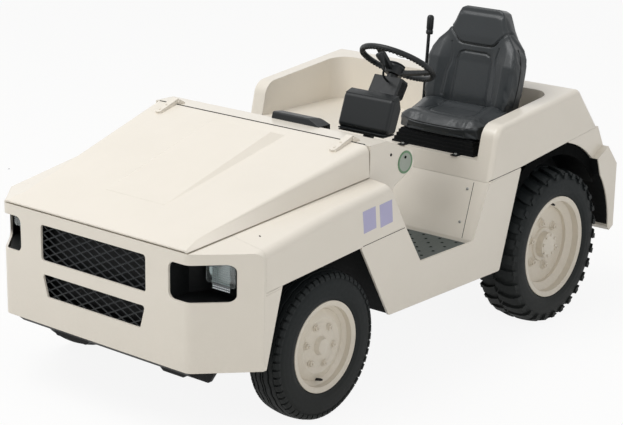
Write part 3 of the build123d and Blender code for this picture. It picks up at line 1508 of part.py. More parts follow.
with BuildPart() as parking_lever:
    # gaiter, rod and knob to the right of the seat
    with BuildSketch(Plane.XY.offset(deck_z + rest_gap)):
        with Locations((parking_x, parking_y)):
            RectangleRounded(110, 60, 12)
    with BuildSketch(Plane.XY.offset(deck_z + 60)):
        with Locations((parking_x - 6, parking_y)):
            RectangleRounded(40, 26, 8)
    loft()
    rod_run = Vector(-40, 0, 520)
    with BuildSketch(Plane(origin=(parking_x, parking_y, deck_z + 20), z_dir=rod_run)):
        Circle(8)
    extrude(amount=rod_run.length)
    with BuildSketch(Plane(origin=(parking_x - 38, parking_y, deck_z + 455), z_dir=rod_run)):
        Circle(14)
    extrude(amount=90)
    fillet(parking_lever.edges().sort_by(Axis.Z)[-1], 8)
write(parking_lever, "parking_lever")

# ============================================================================= the seat
with BuildPart() as seat_base:
    with BuildSketch(side_plane(driver_y + seat_half_width - 14)):
        with BuildLine():
            Polyline(
                (seat_x - 210, deck_z + rest_gap), (seat_x + 195, deck_z + rest_gap),
                (seat_x + 180, deck_z + 66), (seat_x - 210, deck_z + 66), close=True,
            )
        make_face()
    extrude(amount=2 * (seat_half_width - 14))
write(seat_base, "seat_base")

with BuildPart() as seat_cushion:
    with BuildSketch(side_plane(driver_y + seat_half_width)):
        with BuildLine():
            FilletPolyline(
                (seat_x - 165, deck_z + 66 + rest_gap), (seat_x + 150, deck_z + 66 + rest_gap),
                (seat_x + 192, deck_z + 120), (seat_x + 150, deck_z + 160), (seat_x - 165, deck_z + 130),
                radius=[20, 30, 30, 40, 20], close=True,
            )
        make_face()
    extrude(amount=2 * seat_half_width)
write(seat_cushion, "seat_cushion")

with BuildPart() as seat_backrest:
    # leaning back, wide over the bolsters and narrow at the head
    with BuildSketch(Plane(origin=(seat_x - 150, driver_y, deck_z + 140), x_dir=(0, 1, 0),
                           z_dir=(math.cos(back_lean), 0, math.sin(back_lean)))):
        with BuildLine():
            FilletPolyline(
                (-240, back_foot), (240, back_foot), (256, 150), (248, 280), (168, 375), (122, 470),
                (-122, 470), (-168, 375), (-248, 280), (-256, 150),
                radius=[30, 30, 60, 60, 60, 42, 42, 60, 60, 60], close=True,
            )
        make_face()
    extrude(amount=110)
write(seat_backrest, "seat_backrest")
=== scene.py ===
"""Dresses the airport baggage tug: finishes, tyres, seat, lamps, fittings and its studio."""
import logging
import math
from dataclasses import dataclass
from enum import Enum
from typing import Callable, Sequence

import bmesh
import bpy
from mathutils import Matrix, Vector


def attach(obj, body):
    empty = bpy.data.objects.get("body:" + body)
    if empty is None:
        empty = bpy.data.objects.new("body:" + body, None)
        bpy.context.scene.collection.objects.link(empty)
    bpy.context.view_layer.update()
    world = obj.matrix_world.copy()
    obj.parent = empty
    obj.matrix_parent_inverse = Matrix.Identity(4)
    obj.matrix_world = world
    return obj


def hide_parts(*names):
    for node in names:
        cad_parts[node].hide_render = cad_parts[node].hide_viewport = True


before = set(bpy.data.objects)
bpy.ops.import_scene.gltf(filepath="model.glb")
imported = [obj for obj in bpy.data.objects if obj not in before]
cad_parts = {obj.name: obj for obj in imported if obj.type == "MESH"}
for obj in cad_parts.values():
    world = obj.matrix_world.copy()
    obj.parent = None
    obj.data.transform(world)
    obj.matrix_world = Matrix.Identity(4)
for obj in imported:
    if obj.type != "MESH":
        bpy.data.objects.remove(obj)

logging.basicConfig(level=logging.INFO, format="%(levelname)s %(message)s")
log = logging.getLogger("tug")

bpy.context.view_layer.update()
MM = 0.001
FULL_TURN = 2 * math.pi
Point = tuple[float, float, float]
Flat = tuple[float, float]
# axle x, y of the tyre's middle, and tyre radius, which is the axle's height, in millimetres
FRONT_WHEEL: Point = (842.0, 645.5, 317.0)
REAR_WHEEL: Point = (-818.0, 661.5, 374.0)
# middle of the steering wheel's ring, and the lean of its column from upright
RING_CENTRE: Point = (-62.0, 362.0, 1318.0)
COLUMN_LEAN = math.radians(33.0)
SIDE_Y = 734.0  # outer face of the body's side, in millimetres
RISER_OUT: Point = (0.909, 0.0, 0.416)  # the way that the slanted seat riser faces


class Side(Enum):
    """Which side of the vehicle, as the sign of y."""

    LEFT = 1
    RIGHT = -1

    @property
    def label(self) -> str:
        """Gives the side as a piece's name has it."""
        return self.name.lower()


class End(Enum):
    """Which axle."""

    FRONT = "front"
    REAR = "rear"


class Grain(Enum):
    """How the fine relief of a surface was made."""

    SPRAYED = "sprayed"
    CAST = "cast"
    MOULDED = "moulded"
    LEATHER = "leather"
    RUBBER = "rubber"
    DRAWN = "drawn"


# ------------------------------------------------------------------------------ finishes
def linear(code: str) -> tuple[float, float, float, float]:
    """Turns an sRGB colour into the linear values that a shader takes.

    Args:
        code: the colour as "#RRGGBB".

    Returns:
        Linear red, green, blue and an alpha of 1.
    """
    shares = [int(code[i : i + 2], 16) / 255 for i in (1, 3, 5)]
    return (*[s / 12.92 if s <= 0.04045 else ((s + 0.055) / 1.055) ** 2.4 for s in shares], 1.0)


def add_node(
    tree: bpy.types.NodeTree, kind: str, inputs: dict | None = None, **settings: object
) -> bpy.types.Node:
    """Adds a shader node with its settings, constants and links.

    Args:
        tree: the node tree it goes into.
        kind: the node's Blender type.
        inputs: socket name or number, and the constant or output socket that it takes.
        settings: the node's own properties.

    Returns:
        The new node.
    """
    node = tree.nodes.new(kind)
    for name, value in settings.items():
        setattr(node, name, value)
    for socket, value in (inputs or {}).items():
        if isinstance(value, bpy.types.NodeSocket):
            tree.links.new(value, node.inputs[socket])
        else:
            node.inputs[socket].default_value = value
    return node


@dataclass(frozen=True)
class Finish:
    """One surface finish: what it is made of, how it was made and how it has aged.

    Colours are sRGB hex values, and sizes are in millimetres.
    """

    name: str
    colour: str
    drift: str
    rubbed: str
    dust: str
    roughness: float
    metallic: float = 0.0
    coat: float = 0.0
    sheen: float = 0.0
    transmission: float = 0.0
    specular: float = 0.5
    grain: Grain = Grain.SPRAYED
    grain_mm: float = 3.0
    grain_depth_mm: float = 0.05
    drift_mm: float = 260.0
    rub_share: float = 0.35
    dust_share: float = 0.3
    dust_height_mm: float = 620.0
    edge_mm: float = 1.5

    def relief(self, tree: bpy.types.NodeTree, place: bpy.types.NodeSocket) -> bpy.types.NodeSocket:
        """Adds the texture of the fine relief.

        Args:
            tree: the material's node tree.
            place: the Object coordinates.

        Returns:
            The relief's height, from 0 to 1.
        """
        scale = 1000.0 / self.grain_mm
        if self.grain is Grain.LEATHER:
            cells = add_node(
                tree, "ShaderNodeTexVoronoi", {"Vector": place, "Scale": scale, "Randomness": 0.9},
                feature="SMOOTH_F1",
            )
            creases = add_node(
                tree, "ShaderNodeTexNoise", {"Vector": place, "Scale": scale / 5, "Detail": 4.0}
            )
            return add_node(
                tree, "ShaderNodeMath",
                {0: creases.outputs[0], 1: cells.outputs["Distance"]}, operation="SUBTRACT",
            ).outputs[0]
        if self.grain is Grain.DRAWN:
            place = add_node(
                tree, "ShaderNodeMapping", {"Vector": place, "Scale": (0.08, 1.0, 1.0)}
            ).outputs[0]
        detail = {Grain.CAST: 6.0, Grain.MOULDED: 2.0, Grain.RUBBER: 5.0}.get(self.grain, 2.5)
        return add_node(
            tree, "ShaderNodeTexNoise",
            {"Vector": place, "Scale": scale, "Detail": detail, "Roughness": 0.6},
        ).outputs[0]

    def build(self) -> bpy.types.Material:
        """Makes the material.

        Returns:
            The material, with its colour, wear, roughness and relief from nodes.
        """
        material = bpy.data.materials.new(self.name)
        material.use_nodes = True
        tree = material.node_tree
        tree.nodes.clear()
        place = add_node(tree, "ShaderNodeTexCoord").outputs["Object"]
        drift = add_node(
            tree, "ShaderNodeTexNoise",
            {"Vector": place, "Scale": 1000.0 / self.drift_mm, "Detail": 4.0, "Roughness": 0.55},
        ).outputs[0]
        fine = add_node(
            tree, "ShaderNodeTexNoise",
            {"Vector": place, "Scale": 1000.0 / 14.0, "Detail": 5.0, "Roughness": 0.7},
        ).outputs[0]
        soft = add_node(
            tree, "ShaderNodeBevel", {"Radius": self.edge_mm * MM}, samples=4
        ).outputs[0]
        flat = add_node(tree, "ShaderNodeNewGeometry").outputs["Normal"]
        # the softened normal leaves the true one only at an edge, where hands and boots rub
        along = add_node(
            tree, "ShaderNodeVectorMath", {0: soft, 1: flat}, operation="DOT_PRODUCT"
        ).outputs["Value"]
        edge = add_node(
            tree, "ShaderNodeMapRange",
            {"Value": along, "From Min": 0.985, "From Max": 0.90, "To Min": 0.0, "To Max": 1.0},
        ).outputs[0]
        patchy = add_node(
            tree, "ShaderNodeMapRange",
            {"Value": fine, "From Min": 0.46, "From Max": 0.62, "To Min": 0.0,
             "To Max": self.rub_share},
        ).outputs[0]
        rub = add_node(
            tree, "ShaderNodeMath", {0: edge, 1: patchy}, operation="MULTIPLY"
        ).outputs[0]
        height = add_node(tree, "ShaderNodeSeparateXYZ", {0: place}).outputs["Z"]
        low = add_node(
            tree, "ShaderNodeMapRange",
            {"Value": height, "From Min": self.dust_height_mm * MM, "From Max": 0.05,
             "To Min": 0.0, "To Max": self.dust_share},
        ).outputs[0]
        dusty = add_node(tree, "ShaderNodeMath", {0: low, 1: fine}, operation="MULTIPLY").outputs[0]
        drifted = add_node(
            tree, "ShaderNodeMix", {0: drift, 6: linear(self.colour), 7: linear(self.drift)},
            data_type="RGBA",
        ).outputs[2]
        dusted = add_node(
            tree, "ShaderNodeMix", {0: dusty, 6: drifted, 7: linear(self.dust)}, data_type="RGBA"
        ).outputs[2]
        colour = add_node(
            tree, "ShaderNodeMix", {0: rub, 6: dusted, 7: linear(self.rubbed)}, data_type="RGBA"
        ).outputs[2]
        rough = add_node(
            tree, "ShaderNodeMapRange",
            {"Value": fine, "From Min": 0.3, "From Max": 0.7,
             "To Min": max(self.roughness - 0.06, 0.02), "To Max": min(self.roughness + 0.08, 1.0)},
        ).outputs[0]
        bump = add_node(
            tree, "ShaderNodeBump",
            {"Height": self.relief(tree, place), "Normal": soft, "Strength": 1.0,
             "Distance": self.grain_depth_mm * MM},
        ).outputs[0]
        shader = add_node(
            tree, "ShaderNodeBsdfPrincipled",
            {"Base Color": colour, "Roughness": rough, "Normal": bump, "Metallic": self.metallic,
             "Coat Weight": self.coat, "Coat Roughness": 0.12, "Sheen Weight": self.sheen,
             "Transmission Weight": self.transmission, "Specular IOR Level": self.specular},
        )
        add_node(tree, "ShaderNodeOutputMaterial", {"Surface": shader.outputs[0]})
        return material


# Two-pack enamel sprayed on steel sheet: smooth with a slight orange peel and a soft gloss,
# warm off-white that dust dulls low down
BODY_ENAMEL = Finish(
    "body_enamel", "#EDE6DA", "#E6DFD2", "#C9C2B4", "#B3A896", 0.36, coat=0.25,
    grain_mm=5.0, grain_depth_mm=0.04, dust_share=0.28, edge_mm=3.0,
)
# The same enamel on pressed rims, duller and dustier from the road
WHEEL_ENAMEL = Finish(
    "wheel_enamel", "#E8E0D2", "#DDD5C6", "#A69C8C", "#A0937F", 0.42, coat=0.1,
    grain_mm=4.0, grain_depth_mm=0.05, dust_share=0.35, dust_height_mm=720.0, edge_mm=1.5,
)
# Carbon-black tyre rubber, moulded: near black, a faint bloom and grey dust in the tread
TYRE_RUBBER = Finish(
    "tyre_rubber", "#121617", "#191E1F", "#272B2B", "#34322D", 0.66, specular=0.22,
    grain=Grain.RUBBER, grain_mm=6.0, grain_depth_mm=0.25, dust_share=0.5, rub_share=0.6,
    edge_mm=2.5,
)
# Black chassis enamel brushed on frame steel: dark, half dull, chipped at its edges
CHASSIS_BLACK = Finish(
    "chassis_black", "#0A0C0D", "#101213", "#3C3A36", "#2C2A25", 0.55, specular=0.2, grain_mm=7.0,
    grain_depth_mm=0.12, dust_share=0.35,
)
# Grey iron sand casting under thin primer: coarse skin, dark grey, oily dust
CAST_IRON = Finish(
    "cast_iron", "#262725", "#31302D", "#5F5C55", "#423D32", 0.66, metallic=0.3, grain=Grain.CAST,
    grain_mm=3.5, grain_depth_mm=0.3, dust_share=0.5,
)
# Bright zinc-plated steel: cool grey metal with a drawn grain
BRIGHT_STEEL = Finish(
    "bright_steel", "#A9ABA8", "#90928F", "#C9CBC8", "#6E675A", 0.36, metallic=1.0,
    grain=Grain.DRAWN, grain_mm=1.6, grain_depth_mm=0.02,
)
# Anti-slip floor enamel on steel plate: dark green grey, scuffed paler where feet go
FLOOR_ENAMEL = Finish(
    "floor_enamel", "#4B5350", "#414946", "#7C7F79", "#6B675C", 0.58, grain_mm=4.0,
    grain_depth_mm=0.15, rub_share=0.7,
)
# Injection-moulded ABS: black, fine spark grain, soft sheen
BLACK_ABS = Finish(
    "black_abs", "#0E1113", "#14181A", "#2A2E30", "#2A2925", 0.4, specular=0.32,
    grain=Grain.MOULDED, grain_mm=2.5, grain_depth_mm=0.06, edge_mm=2.0,
)
# Expanded-steel mesh, dip painted: dark grey with paler rubbed strands
MESH_BLACK = Finish(
    "mesh_black", "#23272A", "#1C1F21", "#7A7D7C", "#4C4941", 0.5, specular=0.3,
    grain_mm=3.0, rub_share=0.9, edge_mm=1.0,
)
# Charcoal PVC seat vinyl with an embossed hide grain, whose cells are drawn 5 mm wide so that
# they show
SEAT_VINYL = Finish(
    "seat_vinyl", "#181D1F", "#20262A", "#3A3C3C", "#33322F", 0.36, specular=0.46, sheen=0.09,
    grain=Grain.LEATHER, grain_mm=5.0, grain_depth_mm=0.22, edge_mm=2.0,
)
# PVC piping cord along the seat's seams: darker and smoother than the cover
SEAM_PIPING = Finish(
    "seam_piping", "#090B0C", "#0D0F10", "#1C1E1E", "#1C1B19", 0.4, specular=0.25,
    grain=Grain.MOULDED, grain_mm=2.0, grain_depth_mm=0.03, edge_mm=0.5,
)
# Clear pressed headlamp glass
LAMP_GLASS = Finish(
    "lamp_glass", "#EDF3F2", "#E4ECEB", "#FFFFFF", "#C9C6BC", 0.07, transmission=0.92,
    grain_mm=6.0, grain_depth_mm=0.02, dust_share=0.1, edge_mm=0.8,
)
# Vacuum-coated aluminium on the lamp's reflector: mirror bright
REFLECTOR = Finish(
    "reflector_aluminium", "#D6DBDD", "#C6CCCE", "#E8ECEC", "#A9A79D", 0.12, metallic=1.0,
    grain_mm=8.0, grain_depth_mm=0.03, dust_share=0.1, edge_mm=0.5,
)
# Red acrylic tail lamp lens: deep red with light passing a little way in
RED_ACRYLIC = Finish(
    "red_acrylic", "#A3151A", "#8E1014", "#C8393A", "#6D2A24", 0.18, coat=0.5, transmission=0.25,
    grain_mm=5.0, grain_depth_mm=0.03, dust_share=0.2, edge_mm=1.0,
)
# Lavender vinyl film, cut and stuck on the enamel
LAVENDER_FILM = Finish(
    "lavender_film", "#B7B4D6", "#ADAACD", "#CFCDE0", "#9A96A6", 0.33, coat=0.2, edge_mm=0.4,
)
# Grey-green anodised disc and its green ring
DISC_GREY = Finish(
    "disc_grey", "#9FA79C", "#959D93", "#C0C6BC", "#878B80", 0.4, metallic=0.2, edge_mm=0.4,
)
RING_GREEN = Finish(
    "ring_green", "#5F8A63", "#567F5A", "#87A889", "#5D7059", 0.4, coat=0.2, edge_mm=0.4,
)
# Black rubber bellows: dull and nearly without gloss
HOLLOW_RUBBER = Finish(
    "bellows_rubber", "#0A0C0D", "#0E1011", "#1C1D1D", "#23211E", 0.72, specular=0.15,
    grain=Grain.RUBBER, grain_mm=4.0, grain_depth_mm=0.1, edge_mm=1.5,
)
# Painted shade: near black for the dark hollow seen through a drilled hole, where no light comes
# back, and for the shade in gaps, shut lines and arches
PAINTED_SHADE_BLACK = Finish(
    "hollow_black", "#050606", "#070808", "#0B0C0C", "#0D0C0B", 0.9, specular=0.05, edge_mm=0.2,
)

SLOT_FINISH = {
    "body_paint": BODY_ENAMEL,
    "wheel_paint": WHEEL_ENAMEL,
    "tyre_rubber": TYRE_RUBBER,
    "frame_black": CHASSIS_BLACK,
    "cast_iron": CAST_IRON,
    "steel": BRIGHT_STEEL,
    "floor_grey": FLOOR_ENAMEL,
    "black_plastic": BLACK_ABS,
    "seat_vinyl": SEAT_VINYL,
    "grille_black": MESH_BLACK,
    "lamp_lens": LAMP_GLASS,
    "tail_red": RED_ACRYLIC,
}
_built: dict[str, bpy.types.Material] = {}


def material_of(finish: Finish) -> bpy.types.Material:
    """Gives the finish's material, and builds it the first time."""
    if finish.name not in _built:
        _built[finish.name] = finish.build()
    return _built[finish.name]


# ----------------------------------------------------------------------------- workpieces
def mm(x: float, y: float, z: float) -> Vector:
    """Turns a place in millimetres into one in metres."""
    return Vector((x, y, z)) * MM


def facing(place: Point, direction: Point, turn: float = 0.0) -> Matrix:
    """Gives the placing of a piece that was modelled standing on the origin, up along z.

    Args:
        place: where its foot goes, in millimetres.
        direction: which way its z axis points.
        turn: how far it turns about its own axis first, in radians.

    Returns:
        The placing matrix.
    """
    stand = Vector(direction).to_track_quat("Z", "Y").to_matrix().to_4x4()
    return Matrix.Translation(mm(*place)) @ stand @ Matrix.Rotation(turn, 4, "Z")


def facing_turned(place: Point, direction: Point) -> Matrix:
    """Gives the placing of a piece that was turned round the y axis from the origin."""
    return facing(place, direction) @ Matrix.Rotation(math.pi / 2, 4, "X")


def arc(start: Flat, through: Flat, end: Flat, count: int) -> list[Flat]:
    """Gives points along the circular arc through three points.

    Args:
        start: the first point.
        through: a point on the way.
        end: the last point.
        count: how many points, ends included.

    Returns:
        The points in order.
    """
    (ax, ay), (bx, by), (cx, cy) = start, through, end
    d = 2 * (ax * (by - cy) + bx * (cy - ay) + cx * (ay - by))
    sa, sb, sc = ax * ax + ay * ay, bx * bx + by * by, cx * cx + cy * cy
    ox = (sa * (by - cy) + sb * (cy - ay) + sc * (ay - by)) / d
    oy = (sa * (cx - bx) + sb * (ax - cx) + sc * (bx - ax)) / d
    radius = math.hypot(ax - ox, ay - oy)
    first = math.atan2(ay - oy, ax - ox)
    middle = (math.atan2(by - oy, bx - ox) - first) % FULL_TURN
    sweep = (math.atan2(cy - oy, cx - ox) - first) % FULL_TURN
    if middle > sweep:
        sweep -= FULL_TURN
    turns = [first + sweep * i / (count - 1) for i in range(count)]
    return [(ox + radius * math.cos(t), oy + radius * math.sin(t)) for t in turns]


class Workpiece:
    """A mesh that is shaped in edit mode with Blender's own operators, sizes in millimetres."""

    def __init__(self, name: str, primitive: Callable, **settings: object) -> None:
        """Adds the primitive that the piece starts from, and opens it for editing.

        Args:
            name: the piece's name.
            primitive: the operator that adds the primitive.
            settings: what the operator is given.
        """
        if bpy.context.mode != "OBJECT":
            bpy.ops.object.mode_set(mode="OBJECT")
        bpy.ops.object.select_all(action="DESELECT")
        primitive(**settings)
        self.body = bpy.context.object
        self.body.name = name
        bpy.ops.object.transform_apply(location=True, rotation=True, scale=True)
        self.open()

    @classmethod
    def block(cls, name: str, low: Point, high: Point) -> "Workpiece":
        """Starts from a box between two corners, in millimetres."""
        middle = (mm(*low) + mm(*high)) / 2
        piece = cls(name, bpy.ops.mesh.primitive_cube_add, size=1.0)
        piece.grab()
        piece.resize(tuple(mm(*high) - mm(*low)), (0, 0, 0))
        piece.move(tuple(middle / MM))
        return piece

    @classmethod
    def rod(cls, name: str, radius: float, height: float, sides: int = 24) -> "Workpiece":
        """Starts from a closed rod that stands on the origin, in millimetres."""
        return cls(
            name, bpy.ops.mesh.primitive_cylinder_add, vertices=sides, radius=radius * MM,
            depth=height * MM, location=mm(0, 0, height / 2),
        )

    @classmethod
    def head(
        cls, name: str, radius: float, height: float, sides: int, edge: float, segments: int = 2
    ) -> "Workpiece":
        """Starts from a rod with its top edge rounded, such as a screw's or nut's head."""
        piece = cls.rod(name, radius, height, sides)
        piece.grab_top()
        piece.bevel(edge, segments)
        return piece

    @classmethod
    def bar(
        cls, name: str, start: Point, end: Point, out: Point, width: float, height: float,
        sink: float = 0.3,
    ) -> "Workpiece":
        """Lays a flat bar from one point to another on a surface.

        Args:
            name: the piece's name.
            start: the middle of its one end, on the surface.
            end: the middle of its other end.
            out: the direction that points away from the surface.
            width: how wide it is.
            height: how far it stands proud.
            sink: how far it goes into the surface.

        Returns:
            The bar.
        """
        run = Vector(end) - Vector(start)
        piece = cls.block(name, (0, -width / 2, -sink), (run.length, width / 2, height))
        piece.close()
        along = run.normalized()
        up = (Vector(out) - along * along.dot(Vector(out))).normalized()
        axes = Matrix((along, up.cross(along), up)).transposed().to_4x4()
        piece.place(Matrix.Translation(mm(*start)) @ axes)
        return piece

    @classmethod
    def tube(
        cls, name: str, points: Sequence[Point], radius: float, sides: int = 12
    ) -> "Workpiece":
        """Bends a round bar or hose along a smooth line of points.

        Args:
            name: the piece's name.
            points: the line's points, in millimetres.
            radius: the bar's radius.
            sides: how many sides its section has.

        Returns:
            The bar as a mesh, with closed ends.
        """
        data = bpy.data.curves.new(name, "CURVE")
        data.dimensions = "3D"
        data.bevel_depth = radius * MM
        data.bevel_resolution = max(sides // 4 - 1, 1)
        data.use_fill_caps = True
        spline = data.splines.new("NURBS")
        spline.points.add(len(points) - 1)
        for point, place in zip(spline.points, points):
            point.co = (*mm(*place), 1.0)
        spline.order_u = 3
        spline.use_endpoint_u = True
        spline.resolution_u = 8
        body = bpy.data.objects.new(name, data)
        bpy.context.scene.collection.objects.link(body)
        bpy.ops.object.select_all(action="DESELECT")
        body.select_set(True)
        bpy.context.view_layer.objects.active = body
        bpy.ops.object.convert(target="MESH")
        piece = object.__new__(cls)
        piece.body = bpy.context.object
        return piece

    @classmethod
    def line(cls, name: str, points: Sequence[Point], closed: bool = False) -> "Workpiece":
        """Starts from a drawn line of edges.

        Args:
            name: the piece's name.
            points: the line's points, in millimetres.
            closed: whether the last point joins the first.

        Returns:
            The workpiece, with all of the line selected.
        """
        piece = cls(name, bpy.ops.mesh.primitive_plane_add, size=MM)
        piece.grab()
        bpy.ops.mesh.merge(type="CENTER")
        piece.grab()
        piece.move(points[0])
        for before, after in zip(points, points[1:]):
            step = mm(*after) - mm(*before)
            bpy.ops.mesh.extrude_vertices_move(TRANSFORM_OT_translate={"value": step})
        if closed:
            ends = (mm(*points[0]), mm(*points[-1]))
            piece.grab_points(lambda p: min((p - e).length for e in ends) < 1e-6)
            bpy.ops.mesh.edge_face_add()
        piece.grab()
        return piece

    @classmethod
    def turned(
        cls, name: str, profile: Sequence[Flat], steps: int, closed: bool = False
    ) -> "Workpiece":
        """Turns a profile round the y axis, as on a lathe.

        Args:
            name: the piece's name.
            profile: points along the axis and out from it, in millimetres.
            steps: how many steps go round.
            closed: whether the profile's last point joins its first.

        Returns:
            The turned workpiece, with nothing selected.
        """
        piece = cls.line(name, [(0.0, y, r) for y, r in profile], closed)
        piece.spin(steps, FULL_TURN, (0, 0, 0), (0, 1, 0))
        piece.tidy()
        return piece

    def open(self) -> None:
        """Opens the piece for editing with nothing selected."""
        self.close()
        bpy.ops.object.mode_set(mode="EDIT")
        bpy.ops.mesh.select_all(action="DESELECT")

    def close(self) -> None:
        """Leaves edit mode, with only this piece selected."""
        if bpy.context.mode != "OBJECT":
            bpy.ops.object.mode_set(mode="OBJECT")
        bpy.ops.object.select_all(action="DESELECT")
        self.body.select_set(True)
        bpy.context.view_layer.objects.active = self.body

    def grab(self, where: Callable[[Vector, Vector], bool] | None = None) -> None:
        """Selects faces by their middle and normal, or everything.

        Args:
            where: a rule on a face's middle, in metres, and its normal.
        """
        if where is None:
            bpy.ops.mesh.select_all(action="SELECT")
            return
        bpy.ops.mesh.select_mode(type="FACE")
        mesh = bmesh.from_edit_mesh(self.body.data)
        for face in mesh.faces:
            face.select_set(where(face.calc_center_median(), face.normal))
        bmesh.update_edit_mesh(self.body.data)

    def grab_top(self) -> None:
        """Selects the faces that look up."""
        self.grab(lambda c, n: n.z > 0.9)

    def grab_points(self, where: Callable[[Vector], bool]) -> None:
        """Selects the points at the places that the rule names, in metres."""
        bpy.ops.mesh.select_mode(type="VERT")
        mesh = bmesh.from_edit_mesh(self.body.data)
        for edge in (*mesh.faces, *mesh.edges):
            edge.select_set(False)
        for point in mesh.verts:
            point.select_set(where(point.co))
        mesh.select_flush_mode()
        bmesh.update_edit_mesh(self.body.data)

    def move(self, step: Point) -> None:
        """Moves what is selected, in millimetres."""
        bpy.ops.transform.translate(value=mm(*step))

    def resize(self, share: Point, centre: Point) -> None:
        """Scales what is selected about a centre in millimetres."""
        bpy.ops.transform.resize(value=share, center_override=mm(*centre))

    def extrude(self, step: Point) -> None:
        """Extrudes the selected faces, in millimetres."""
        bpy.ops.mesh.extrude_region_move(TRANSFORM_OT_translate={"value": mm(*step)})

    def inset(self, width: float, depth: float = 0.0) -> None:
        """Insets the selected faces, in millimetres."""
        bpy.ops.mesh.inset(thickness=width * MM, depth=depth * MM)

    def bevel(self, width: float, segments: int = 2) -> None:
        """Rounds the edges of what is selected, in millimetres."""
        bpy.ops.mesh.bevel(offset=width * MM, segments=segments, affect="EDGES")

    def cut(self, place: Point, normal: Point) -> None:
        """Cuts an edge loop across the whole piece where a plane meets it."""
        bpy.ops.mesh.select_all(action="SELECT")
        bpy.ops.mesh.bisect(plane_co=mm(*place), plane_no=normal)

    def spin(
        self, steps: int, angle: float, centre: Point, axis: Point, copies: bool = False
    ) -> None:
        """Spins what is selected about an axis, as a skin or as copies."""
        bpy.ops.mesh.spin(steps=steps, dupli=copies, angle=angle, center=mm(*centre), axis=axis)

    def tidy(self) -> None:
        """Merges doubles and points all faces outwards."""
        bpy.ops.mesh.select_all(action="SELECT")
        bpy.ops.mesh.remove_doubles(threshold=0.02 * MM)
        bpy.ops.mesh.select_all(action="SELECT")
        bpy.ops.mesh.normals_make_consistent(inside=False)
        bpy.ops.mesh.select_all(action="DESELECT")

    def place(self, matrix: Matrix) -> None:
        """Puts the piece at its place and keeps the place in its mesh."""
        self.close()
        self.body.matrix_world = matrix
        bpy.ops.object.transform_apply(location=True, rotation=True, scale=True)

    def mirror(self) -> None:
        """Turns the piece into its twin for the other side of the vehicle."""
        self.close()
        self.body.scale = (1, -1, 1)
        bpy.ops.object.transform_apply(location=False, rotation=False, scale=True)
        self.open()
        bpy.ops.mesh.select_all(action="SELECT")
        bpy.ops.mesh.normals_make_consistent(inside=False)
        self.close()

    def for_side(self, side: Side) -> None:
        """Turns the piece into its twin if it goes on the right."""
        if side is Side.RIGHT:
            self.mirror()

    def around(self, count: int, axis: Point) -> None:
        """Copies the whole piece round an axis through the origin."""
        self.grab()
        self.spin(count - 1, FULL_TURN * (count - 1) / count, (0, 0, 0), axis, copies=True)

    def copy(self, name: str) -> "Workpiece":
        """Gives a copy with its own mesh."""
        self.close()
        twin = object.__new__(Workpiece)
        twin.body = self.body.copy()
        twin.body.data = self.body.data.copy()
        twin.body.name = name
        bpy.context.scene.collection.objects.link(twin.body)
        return twin

    def copies(self, places: Sequence[Matrix]) -> None:
        """Puts a copy at each place and joins them into this one piece."""
        self.close()
        name = self.body.name
        made = [self.copy(f"{name}.{i}").body for i in range(len(places))]
        bpy.data.objects.remove(self.body)
        bpy.ops.object.select_all(action="DESELECT")
        for body, place in zip(made, places):
            body.matrix_world = place
            body.select_set(True)
        bpy.context.view_layer.objects.active = made[0]
        bpy.ops.object.transform_apply(location=True, rotation=True, scale=True)
        bpy.ops.object.join()
        self.body = made[0]
        self.body.name = name

    def join(self, others: Sequence["Workpiece"]) -> None:
        """Joins other workpieces into this one."""
        for other in others:
            other.close()
        self.close()
        for other in others:
            other.body.select_set(True)
        bpy.ops.object.join()

    def modify(self, kind: str, **settings: object) -> None:
        """Adds a modifier and applies it.

        Args:
            kind: the modifier's type.
            settings: its properties.
        """
        self.close()
        modifier = self.body.modifiers.new(kind.title(), kind)
        for name, value in settings.items():
            setattr(modifier, name, value)
        bpy.ops.object.modifier_apply(modifier=modifier.name)

    def deliver(
        self, body: str, slot: str, finish: Finish, angle: float = 35.0
    ) -> bpy.types.Object:
        """Finishes the piece and fixes it to a body of the vehicle.

        Args:
            body: the body that it rides on.
            slot: the record's material slot; not used.
            finish: its finish.
            angle: edges sharper than this stay sharp, in degrees.

        Returns:
            The finished object.
        """
        self.close()
        bpy.ops.object.transform_apply(location=True, rotation=True, scale=True)
        bpy.ops.object.shade_smooth_by_angle(angle=math.radians(angle))
        self.body.data.materials.clear()
        self.body.data.materials.append(material_of(finish))
        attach(self.body, body)
        log.info("piece %s on %s: %d faces", self.body.name, body, len(self.body.data.polygons))
        return self.body


